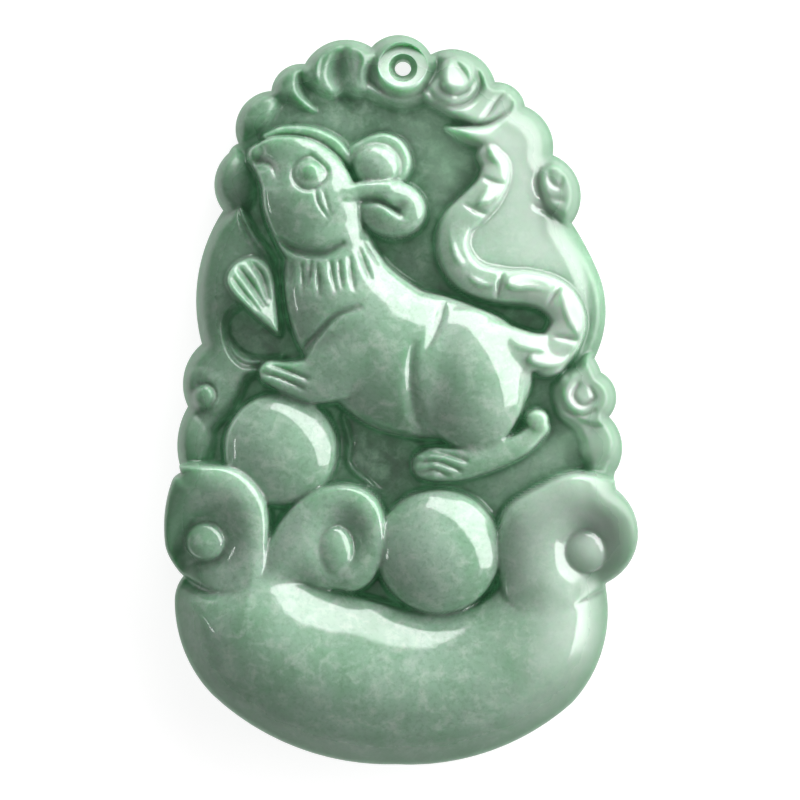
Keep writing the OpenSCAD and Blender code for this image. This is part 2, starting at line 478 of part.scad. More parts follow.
// Work made ready for cutting: [kind, [x0, y0, x1, y1], values in mm]
function bounds(c, w) = [
    min([for (p = c) p[0]]) - w, min([for (p = c) p[1]]) - w,
    max([for (p = c) p[0]]) + w, max([for (p = c) p[1]]) + w
];
function in_mm(p) = [for (q = p) [q[0] * plan, q[1] * plan, q[2] * plan, q[3] * tall]];
function ready(w) =
    w[0] == "slab" ? let (c = loop_curve([for (q = w[8]) q * plan]))
        ["slab", bounds(c, 0), w[1] * plan, w[2] * plan, w[3] * tall, w[4] * tall, w[5], w[6] * tall,
         [w[7][0] * tall / plan, w[7][1] * tall / plan, w[7][2] * plan, w[7][3] * plan], c] :
    w[0] == "ridge" ? let (c = path_curve(in_mm(w[4])))
        ["ridge", bounds(c, max([for (q = c) q[2]])), w[1] * tall, w[2], w[3] * tall, c] :
    w[0] == "cut" ? let (c = path_curve(in_mm(w[1])))
        ["cut", bounds(c, pit_reach * max([for (q = c) q[2]])), c] :
    w[0] == "dome" ? let (r = max(w[3], w[4]) * plan)
        ["dome", bounds([[w[1], w[2]] * plan], r), w[1] * plan, w[2] * plan, w[3] * plan, w[4] * plan,
         w[5], w[6] * tall, w[7] * tall, w[8], w[9] * tall] :
    let (r = pit_reach * max(w[3], w[4]) * plan)
        ["pit", bounds([[w[1], w[2]] * plan], r), w[1] * plan, w[2] * plan, w[3] * plan, w[4] * plan,
         w[5], w[6] * tall];

// Height of each kind of form at p, g is the gap to the outline
function oval(v, rx, ry, a) =
    let (u = (v[0] * cos(a) - v[1] * -sin(a)) / rx, w = (v[0] * -sin(a) + v[1] * cos(a)) / ry) u * u + w * w;
function leg(a, b, p) =
    let (
        d = b - a,
        t = clamp(((p[0] - a[0]) * d[0] + (p[1] - a[1]) * d[1]) / (d[0] * d[0] + d[1] * d[1] + 1e-9)),
        n = norm([p[0] - a[0] - t * d[0], p[1] - a[1] - t * d[1]])
    ) [n / (a[2] + t * d[2]), a[3] + t * d[3], a[2] + t * d[2]];
function ridge_z(w, p, wall) = max([for (i = [0 : len(w[5]) - 2])
    let (n = leg(w[5][i], w[5][i + 1], p))
    n[0] < 1 ? crown(n[0], w[2], n[1], n[2], w[3], wall) : 0]);
function cut_z(w, p) = max([for (i = [0 : len(w[2]) - 2])
    let (n = leg(w[2][i], w[2][i + 1], p)) n[1] * exp(-hollow_fall * n[0] * n[0])]);
function edge_gap(a, b, p) =
    let (d = b - a, t = clamp((p - a) * d / (d * d + 1e-9))) norm(p - a - t * d);
function crosses(a, b, p) =
    (a[1] > p[1]) != (b[1] > p[1]) && p[0] < a[0] + (p[1] - a[1]) * (b[0] - a[0]) / (b[1] - a[1]);
function slab_z(w, p, g, wall) =
    let (c = w[9], n = len(c), k = len([for (i = [0 : n - 1]) if (crosses(c[i], c[(i + 1) % n], p)) 1]))
    k % 2 == 0 ? 0 :
    let (
        e = min([for (i = [0 : n - 1]) edge_gap(c[i], c[(i + 1) % n], p)]),
        top = w[5] + w[8][0] * (p[0] - w[8][2]) + w[8][1] * (p[1] - w[8][3]),
        at_edge = cap_drop(1 - clamp(e / w[2]), w[2], -w[6]),
        at_rim = w[3] > 0 ? cap_drop(1 - clamp(g / w[3]), w[3], -w[6]) : 0,
        side = roll_of(e / wall) * (w[3] > 0 ? roll_of(g / wall) : 1)
    ) w[4] + (cap_z(top - at_edge - at_rim, w[4], top) - w[4]) * side;
function dome_z(w, p, wall) =
    let (q = sqrt(oval([p[0] - w[2], p[1] - w[3]], w[4], w[5], w[6])))
    q < 1 ? crown(q, w[7], w[8], (w[4] + w[5]) / 2, w[9], wall) : 0;

// One piece of work on the stone z, and the whole list in order
function worked(w, p, g, z, wall) =
    p[0] < w[1][0] || p[0] > w[1][2] || p[1] < w[1][1] || p[1] > w[1][3] ? z :
    w[0] == "ridge" ? blend(z, ridge_z(w, p, wall), w[4]) :
    w[0] == "slab" ? blend(z, slab_z(w, p, g, wall), w[7]) :
    w[0] == "dome" ? blend(z, dome_z(w, p, wall), w[10]) :
    w[0] == "cut" ? z - cut_z(w, p) :
    z - w[7] * exp(-hollow_fall * oval([p[0] - w[2], p[1] - w[3]], w[4], w[5], w[6]));
function carve(list, p, g, z, wall, i = 0) =
    i == len(list) ? z : carve(list, p, g, worked(list[i], p, g, z, wall), wall, i + 1);

border_ready = [for (w = border_work) ready(w)];
waves_ready = [for (w = waves_work) ready(w)];
balls_ready = [for (w = balls_work) ready(w)];
tail_ready = [for (w = tail_work) ready(w)];
far_leg_ready = [for (w = far_leg_work) ready(w)];
rat_ready = [for (w = rat_work) ready(w)];

// Raised collar round the bore, and the border with its rolled rim
function collar_z(p) = let (v = p - hole * plan)
    ring_h + collar_over - v[1] * tan(ring_tilt) - collar_fall * max(0, norm(v) - ring_d / 2);
function border_z(p, g) =
    let (carved = carve(border_ready, p, g, ground_t, border_wall))
    rim_h + (max(carved, collar_z(p)) - rim_h) * roll_of(g / rim_roll);

function face_z(p) =
    let (g = rim_gap(p))
    max(rim_h * least_face, min(pendant_t, max(
        border_z(p, g),
        carve(waves_ready, p, g, 0, form_wall),
        carve(balls_ready, p, g, 0, form_wall),
        carve(tail_ready, p, g, 0, form_wall),
        carve(far_leg_ready, p, g, 0, form_wall),
        carve(rat_ready, p, g, 0, form_wall))));

// Face grid: rings of cells from the outline in to the spine
half = cols / 2;
function rim_point(i, j, m) =
    m == i ? side_point(left_side, rows * (j - m) / (rows - 2 * m)) :
    m == cols - i ? side_point(right_side, rows * (1 - (j - m) / (rows - 2 * m))) :
    m == j ? side_point(low_side, cols * (1 - (i - m) / (cols - 2 * m))) :
    side_point(top_side, cols * (i - m) / (cols - 2 * m));
function spine_point(i, j, m) =
    let (f = m == i || m == cols - i ? (j - m) / (rows - 2 * m) : m == j ? 0 : 1)
    [0, (spine_low + (spine_top - spine_low) * f) * plan];
function ring_no(i, j) = min(i, cols - i, j, rows - j);
function plan_point(i, j) =
    let (m = ring_no(i, j), s = m / half, t = s * (1 - rim_crowd + rim_crowd * s))
    rim_point(i, j, m) * (1 - t) + spine_point(i, j, m) * t;
// Heights as carved, then polished: each is drawn toward the mean of its four neighbours
raw = [for (j = [0 : rows]) [for (i = [0 : cols]) ring_no(i, j) == 0 ? rim_h : face_z(plan_point(i, j))]];
function polished(i, j) =
    ring_no(i, j) == 0 ? rim_h :
    ring_no(i, j) == 1 ? raw[j][i] :
    raw[j][i] * (1 - polish) + (raw[j][i - 1] + raw[j][i + 1] + raw[j - 1][i] + raw[j + 1][i]) * polish / 4;
function face_point(i, j) = let (p = plan_point(i, j)) [p[0] * stretch_x, p[1], polished(i, j)];
function under_point(e, inset, z) =
    let (p = plan_point(e[0], e[1]), v = spine_point(e[0], e[1], 0) - p, q = p + v / norm(v) * inset)
    [q[0] * stretch_x, q[1], z];
rim = concat(
    [for (i = [0 : cols - 1]) [i, 0]], [for (j = [0 : rows - 1]) [cols, j]],
    [for (i = [cols : -1 : 1]) [i, rows]], [for (j = [rows : -1 : 1]) [0, j]]
);
rims = len(rim);
under = (cols + 1) * (rows + 1);
function at(i, j) = j * (cols + 1) + i;

stone_points = concat(
    [for (j = [0 : rows]) for (i = [0 : cols]) face_point(i, j)],
    [for (e = rim) under_point(e, back_inset * side_inset, rim_h * side_z)],
    [for (e = rim) under_point(e, back_inset, 0)],
    [[0, 0, 0]]
);
stone_faces = concat(
    [for (j = [0 : rows - 1]) for (i = [0 : cols - 1])
        each (i < half) == (j < rows / 2)
            ? [[at(i, j), at(i + 1, j + 1), at(i + 1, j)], [at(i, j), at(i, j + 1), at(i + 1, j + 1)]]
            : [[at(i, j), at(i, j + 1), at(i + 1, j)], [at(i + 1, j), at(i, j + 1), at(i + 1, j + 1)]]],
    [for (k = [0 : rims - 1])
        let (n = (k + 1) % rims, a = at(rim[k][0], rim[k][1]), b = at(rim[n][0], rim[n][1]))
        each [[a, b, under + n], [a, under + n, under + k],
              [under + k, under + n, under + rims + n], [under + k, under + rims + n, under + rims + k],
              [under + rims + k, under + rims + n, under + 2 * rims]]]
);

module cord_bore() {
    x = hole[0] * plan * stretch_x;
    y = hole[1] * plan;
    bore_r = bore_d / 2;
    mouth_r = mouth_d / 2;
    translate([x, y, -overshoot]) cylinder(r = bore_r, h = pendant_t + 2 * overshoot, $fn = 48);
    translate([x, y, bore_h])
        cylinder(r1 = bore_r, r2 = bore_r + (mouth_r - bore_r) * funnel_run,
                 h = (ring_h - bore_h) * funnel_run, $fn = 48);
    translate([x, y, ring_h]) rotate([-ring_tilt, 0, 0]) cylinder(r = ring_d / 2, h = pendant_t, $fn = 48);
}

module pendant() {
    color("darkseagreen") difference() {
        polyhedron(points = stone_points, faces = stone_faces, convexity = 10);
        cord_bore();
    }
}

pendant();
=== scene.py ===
import logging
import math
from dataclasses import dataclass
from enum import Enum
from functools import cache

import bpy
import numpy as np
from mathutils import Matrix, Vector


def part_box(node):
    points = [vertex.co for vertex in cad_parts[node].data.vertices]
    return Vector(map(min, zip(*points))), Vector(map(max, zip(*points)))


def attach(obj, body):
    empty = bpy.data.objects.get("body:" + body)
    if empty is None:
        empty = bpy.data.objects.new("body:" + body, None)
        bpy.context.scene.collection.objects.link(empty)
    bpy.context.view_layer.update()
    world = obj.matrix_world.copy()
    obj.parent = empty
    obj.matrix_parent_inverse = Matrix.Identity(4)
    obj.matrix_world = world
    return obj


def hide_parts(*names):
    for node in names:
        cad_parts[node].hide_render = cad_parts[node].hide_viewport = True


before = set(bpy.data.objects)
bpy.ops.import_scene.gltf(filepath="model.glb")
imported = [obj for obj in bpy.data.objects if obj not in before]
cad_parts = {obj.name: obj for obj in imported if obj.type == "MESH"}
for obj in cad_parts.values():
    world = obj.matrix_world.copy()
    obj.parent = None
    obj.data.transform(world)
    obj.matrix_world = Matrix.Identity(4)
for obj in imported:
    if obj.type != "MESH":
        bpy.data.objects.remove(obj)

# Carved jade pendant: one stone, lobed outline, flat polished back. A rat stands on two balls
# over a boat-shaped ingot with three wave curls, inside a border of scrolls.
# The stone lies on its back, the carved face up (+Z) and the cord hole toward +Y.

LOG = logging.getLogger("jade_pendant")
MM = 0.001

Array = np.ndarray
Window = tuple[slice, slice]
Knot = tuple[float, ...]
Colour = tuple[float, float, float]
Sockets = bpy.types.bpy_prop_collection

# One plan share is a hundredth of the stone's length, one height share a hundredth of its
# thickness. The outline runs clockwise from the left end of the hole lobe:
# x share, y share, rise of the arc that runs to the next point (share, outward)
OUTLINE: tuple[tuple[float, float, float], ...] = (
    (-3.9, 48.4, 2.15), (4.2, 47.4, 2.33), (13, 43.6, 1.03), (17.1, 40.3, 1.37),
    (20.9, 33.6, 2.4), (23.5, 24.3, 0.21), (27.3, 17, 1.16), (26.6, 5.7, 0.07),
    (27.5, 3.8, 1.51), (28.6, -2.3, 1.37), (29.4, -9.9, -0.14), (29.4, -12.1, 3.65),
    (28, -25, 2.05), (23.5, -41.3, 2.53), (-0.5, -49.8, 2.67), (-25.6, -40.2, 1.31),
    (-30.8, -27.6, 0.34), (-29.6, -24.1, 0.34), (-32, -19.9, 0.55), (-31, -10.9, 0.21),
    (-29.8, -9.9, 1.03), (-29, -0.9, 1.51), (-27.1, 7.7, 1.98), (-24.2, 26, 1.57),
    (-23.4, 33.9, 0.21), (-22.1, 35.2, 2.19), (-17.6, 42.4, 1.23), (-13, 46.1, 2.05),
)
# Corners of the outline where the four sides of the face grid meet
TOP_LEFT = 26
TOP_RIGHT = 3
LOW_RIGHT = 13
LOW_LEFT = 15
# A cap that runs low levels out at this share of its height, mixed over this height in mm
CAP_LOW = 0.25
CAP_BLEND = 0.3
# Soft cuts and pits fall off as exp(-CUT_FALL q^2), worked out as far as q = CUT_REACH
CUT_FALL = 1.2
CUT_REACH = 2.2
# The face is never lower than this share of the rim's height
LEAST_FACE = 1.13
# Pieces between two points of a slab's edge, of a drawn line, and of each arc of the outline
SLAB_SPANS = 5
LINE_SPANS = 8
ARC_SPANS = 12


@dataclass(frozen=True)
class Scale:
    """What a plan share and a height share are worth on this stone, in mm."""

    plan: float
    tall: float


def roll(t: Array) -> Array:
    """Quarter circle that rises from 0 at t = 0 to 1 at t = 1: sqrt(1 - (1 - t)^2)."""
    return np.sqrt(1 - (1 - np.clip(t, 0, 1)) ** 2)


def smooth_max(a: Array, b: Array, blend: float) -> Array:
    """The higher of two height fields, with a round fillet where they cross.

    Args:
        a: Heights of the new form.
        b: Heights that are there already.
        blend: Half of the height difference over which they are mixed; 0 gives a hard edge.

    Returns:
        b + (a - b) h + blend h (1 - h), with h = 1/2 + (a - b) / (2 blend) held in 0 to 1.
    """
    if blend <= 0:
        return np.maximum(a, b)
    h = np.clip(0.5 + 0.5 * (a - b) / blend, 0, 1)
    return b + (a - b) * h + blend * h * (1 - h)


def curve_through(knots: Array, spans: int, closed: bool) -> Array:
    """Smooth curve through drawn points, a Catmull-Rom spline.

    Args:
        knots: One row for each drawn point; every column is smoothed alike.
        spans: Pieces between two drawn points.
        closed: Whether the last point joins the first.

    Returns:
        One row for each point of the curve: (2b + (c - a)t + (2a - 5b + 4c - d)t^2
        + (3b - a - 3c + d)t^3) / 2 for the four points a, b, c, d round each piece.
    """
    if closed:
        ring = np.vstack([knots[-1:], knots, knots[:2]])
    else:
        ring = np.vstack([2 * knots[0] - knots[1], knots, 2 * knots[-1] - knots[-2]])
    a, b, c, d = (ring[k:len(ring) - 3 + k, None, :] for k in range(4))
    t = (np.arange(spans) / spans)[None, :, None]
    curve = 2 * b + (c - a) * t + (2 * a - 5 * b + 4 * c - d) * t ** 2 + (3 * b - a - 3 * c + d) * t ** 3
    points = 0.5 * curve.reshape(-1, knots.shape[1])
    return points if closed else np.vstack([points, knots[-1:]])


def crown(q: Array, foot: float, top: Array, width: Array, form: float, wall: float) -> Array:
    """Cross-section of a raised form.

    Args:
        q: Distance from the crest as a share of the half width, 0 to 1.
        foot: Height of the foot, mm.
        top: Height of the crest, mm.
        width: Half width, mm.
        form: Over 0, the power p of the dome foot + (top - foot)(1 - q^2)^p. Under 0, minus the
            half angle in degrees of a circular cap whose edge rolls down to the foot.
        wall: Width over which that edge rolls down, mm.

    Returns:
        Heights, mm.
    """
    q = np.clip(q, 0, 1)
    if form > 0:
        return foot + (top - foot) * (1 - q * q) ** form
    sine = math.sin(math.radians(-form))
    bend = width / sine
    cap = top - bend + bend * np.sqrt(1 - (q * sine) ** 2)
    cap = smooth_max(cap, foot + CAP_LOW * (top - foot), CAP_BLEND)
    return foot + (cap - foot) * roll((1 - q) * width / wall)


def cap_drop(gap: Array, width: float, sine: float) -> Array:
    """Drop below the top at a gap from an edge: w/s - w/s sqrt(1 - ((1 - gap/w) s)^2)."""
    return width / sine * (1 - np.sqrt(1 - ((1 - np.clip(gap / width, 0, 1)) * sine) ** 2))


def to_segment(a: Array, b: Array, x: Array, y: Array) -> tuple[Array, Array]:
    """Share of the way from a to b that lies nearest each place, and the distance from there."""
    d = b - a
    t = np.clip(((x - a[0]) * d[0] + (y - a[1]) * d[1]) / (d[0] ** 2 + d[1] ** 2 + 1e-9), 0, 1)
    return t, np.hypot(x - a[0] - t * d[0], y - a[1] - t * d[1])


def depth_inside(loop: Array, x: Array, y: Array) -> Array:
    """Distance to a closed line, over 0 inside it and under 0 outside, by crossing parity."""
    gap = np.full(x.shape, np.inf)
    inside = np.zeros(x.shape, bool)
    for a, b in zip(loop, np.roll(loop, -1, axis=0)):
        gap = np.minimum(gap, to_segment(a, b, x, y)[1])
        if a[1] != b[1]:
            inside ^= ((a[1] > y) != (b[1] > y)) & (x < a[0] + (y - a[1]) * (b[0] - a[0]) / (b[1] - a[1]))
    return np.where(inside, gap, -gap)


def box_mean(values: Array, n: int) -> Array:
    """Mean over squares of 2n + 1 places, taken twice along each side for a soft falloff."""
    for axis in (0, 1, 0, 1):
        pad = [(n + 1, n) if a == axis else (0, 0) for a in (0, 1)]
        total = np.cumsum(np.pad(values, pad, mode="edge"), axis=axis)
        ends = np.take(total, range(2 * n + 1, total.shape[axis]), axis=axis)
        starts = np.take(total, range(total.shape[axis] - 2 * n - 1), axis=axis)
        values = (ends - starts) / (2 * n + 1)
    return values


class Relief:
    """An even grid of heights over the plan of the stone, all in mm."""

    def __init__(self, half_x: float, half_y: float, pitch: float, outline: Array, scale: Scale) -> None:
        """Lay the grid out and measure the gap from each place to the outline.

        Args:
            half_x: Half of the grid's width.
            half_y: Half of its length.
            pitch: Distance between two places.
            outline: Points of the outline.
            scale: The stone's scale.
        """
        self.pitch, self.scale, self.wall = pitch, scale, 0.0
        self.x_0, self.y_0 = -half_x, -half_y
        self.x, self.y = np.meshgrid(np.arange(-half_x, half_x + pitch, pitch),
                                     np.arange(-half_y, half_y + pitch, pitch))
        self.gap = depth_inside(outline, self.x, self.y)
        self.z = np.zeros(self.x.shape)

    def window(self, xs: Array, ys: Array, margin: float) -> Window:
        """The part of the grid that holds some places with a margin round them."""
        spans = [(int((np.min(values) - margin - start) / self.pitch),
                  int((np.max(values) + margin - start) / self.pitch) + 2)
                 for values, start in ((ys, self.y_0), (xs, self.x_0))]
        rows, columns = (slice(max(low, 0), min(high, size))
                         for (low, high), size in zip(spans, self.x.shape))
        return rows, columns

    def read(self, values: Array, x: Array, y: Array) -> Array:
        """Values of a field over this grid at any places, mixed from the four nearest."""
        u = np.clip((x - self.x_0) / self.pitch, 0, self.x.shape[1] - 1.001)
        v = np.clip((y - self.y_0) / self.pitch, 0, self.x.shape[0] - 1.001)
        i, j = u.astype(int), v.astype(int)
        u, v = u - i, v - j
        low = values[j, i] * (1 - u) + values[j, i + 1] * u
        high = values[j + 1, i] * (1 - u) + values[j + 1, i + 1] * u
        return low * (1 - v) + high * v

    def spread(self, values: Array, reach: float) -> Array:
        """Mean of a field over squares of half width reach, counting only places on the stone."""
        n = max(1, round(reach / self.pitch))
        return box_mean(values * (self.gap > 0), n) / np.maximum(box_mean((self.gap > 0) * 1.0, n), 1e-3)

    def along(self, knots: tuple[Knot, ...], reach: float) -> tuple[Window, Array, Array, Array]:
        """Where the places near a drawn line lie along it.

        Args:
            knots: The line's (x, y, half width, level) as shares, smoothed in between.
            reach: How far to look, in half widths.

        Returns:
            The window of those places, their least distance as a share of the half width, and
            the half width and the level there, mm.
        """
        unit = [self.scale.plan] * 3 + [self.scale.tall]
        line = curve_through(np.array(knots) * unit, LINE_SPANS, closed=False)
        win = self.window(line[:, 0], line[:, 1], reach * line[:, 2].max())
        x, y = self.x[win], self.y[win]
        share, width, level = np.full(x.shape, np.inf), np.ones(x.shape), np.zeros(x.shape)
        for a, b in zip(line[:-1], line[1:]):
            t, distance = to_segment(a, b, x, y)
            w = a[2] + t * (b[2] - a[2])
            near = distance / w < share
            share = np.where(near, distance / w, share)
            width = np.where(near, w, width)
            level = np.where(near, a[3] + t * (b[3] - a[3]), level)
        return win, share, width, level

    def about(self, oval: "Oval", reach: float) -> tuple[Window, Array, float]:
        """The places near an oval.

        Args:
            oval: The oval form.
            reach: How far to look, in half widths.

        Returns:
            The window of those places, their distance from the oval's middle as a share of its
            edge, and its mean half width, mm.
        """
        x, y, half_x, half_y = (v * self.scale.plan for v in (oval.x, oval.y, oval.half_x, oval.half_y))
        win = self.window(np.array([x]), np.array([y]), reach * max(half_x, half_y))
        c, s = math.cos(math.radians(oval.turn)), math.sin(math.radians(oval.turn))
        x, y = self.x[win] - x, self.y[win] - y
        return win, np.hypot((x * c + y * s) / half_x, (y * c - x * s) / half_y), (half_x + half_y) / 2

    def raise_to(self, win: Window, height: Array, blend: float) -> None:
        """Lift a window of the face to the heights of a form, blended by a height share."""
        self.z[win] = smooth_max(height, self.z[win], blend * self.scale.tall)


class Work:
    """A piece of carving work. Plan values are plan shares, heights and depths height shares."""

    def carve(self, relief: Relief) -> None:
        """Change the heights of the relief in place."""
        raise NotImplementedError


@dataclass(frozen=True)
class Slab(Work):
    """A field with rolled edges inside a closed line, its slope (rise per x, rise per y, x, y)."""

    edge: float
    rim: float
    foot: float
    top: float
    form: float
    blend: float
    line: tuple[Knot, ...]
    slope: tuple[float, float, float, float] = (0, 0, 0, 0)

    def carve(self, relief: Relief) -> None:
        """Top plane less the cap drops at the line and at the stone's rim, then the walls."""
        plan, tall = relief.scale.plan, relief.scale.tall
        loop = curve_through(np.array(self.line) * plan, SLAB_SPANS, closed=True)
        win = relief.window(loop[:, 0], loop[:, 1], 0)
        x, y, gap = relief.x[win], relief.y[win], relief.gap[win]
        depth = depth_inside(loop, x, y)
        rise_x, rise_y, x_0, y_0 = self.slope
        foot = self.foot * tall
        top = (self.top + rise_x * (x / plan - x_0) + rise_y * (y / plan - y_0)) * tall
        sine = math.sin(math.radians(-self.form))
        height = top - cap_drop(depth, self.edge * plan, sine)
        side = roll(depth / relief.wall)
        if self.rim > 0:
            height = height - cap_drop(gap, self.rim * plan, sine)
            side = side * roll(gap / relief.wall)
        height = smooth_max(height, foot + CAP_LOW * (top - foot), CAP_BLEND)
        relief.raise_to(win, np.where(depth > 0, foot + (height - foot) * side, 0), self.blend)


@dataclass(frozen=True)
class Ridge(Work):
    """A rounded bar along a drawn line of (x, y, half width, top)."""

    foot: float
    form: float
    blend: float
    line: tuple[Knot, ...]

    def carve(self, relief: Relief) -> None:
        """Crown of the distance from the line as a share of the half width."""
        win, share, width, top = relief.along(self.line, 1)
        height = crown(share, self.foot * relief.scale.tall, top, width, self.form, relief.wall)
        relief.raise_to(win, np.where(share < 1, height, 0), self.blend)


@dataclass(frozen=True)
class Cut(Work):
    """A soft groove along a drawn line of (x, y, half width, depth)."""

    line: tuple[Knot, ...]

    def carve(self, relief: Relief) -> None:
        """Depth times the falloff of the distance as a share of the half width."""
        win, share, _, depth = relief.along(self.line, CUT_REACH)
        relief.z[win] -= depth * np.exp(-CUT_FALL * share ** 2)


@dataclass(frozen=True)
class Oval(Work):
    """An oval form, turned by degrees."""

    x: float
    y: float
    half_x: float
    half_y: float
    turn: float


@dataclass(frozen=True)
class Dome(Oval):
    """A rounded oval boss."""

    foot: float
    top: float
    form: float
    blend: float

    def carve(self, relief: Relief) -> None:
        """Crown of the distance from the middle as a share of the oval's edge."""
        win, share, width = relief.about(self, 1)
        tall = relief.scale.tall
        height = crown(share, self.foot * tall, self.top * tall, width, self.form, relief.wall)
        relief.raise_to(win, np.where(share < 1, height, 0), self.blend)


@dataclass(frozen=True)
class Pit(Oval):
    """A soft oval hollow."""

    depth: float

    def carve(self, relief: Relief) -> None:
        """Depth times the falloff of the distance as a share of the oval's edge."""
        win, share, _ = relief.about(self, CUT_REACH)
        relief.z[win] -= self.depth * relief.scale.tall * np.exp(-CUT_FALL * share ** 2)


@dataclass(frozen=True)
class Collar(Work):
    """The raised collar round the cord hole that the flat ring face is cut into, in mm."""

    x: float
    y: float
    radius: float
    level: float
    tilt: float
    over: float
    fall: float

    def carve(self, relief: Relief) -> None:
        """Tilted plane a little over the ring face, less the fall times the way outside it."""
        x, y = relief.x - self.x, relief.y - self.y
        plane = self.level + self.over - y * math.tan(math.radians(self.tilt))
        relief.z = np.maximum(relief.z, plane - self.fall * np.maximum(np.hypot(x, y) - self.radius, 0))


@dataclass(frozen=True)
class RimRoll(Work):
    """The outer edge rolled down all round the outline, in mm."""

    width: float
    level: float

    def carve(self, relief: Relief) -> None:
        """Height over the level times the quarter circle of the gap to the outline."""
        relief.z = self.level + (relief.z - self.level) * roll(relief.gap / self.width)


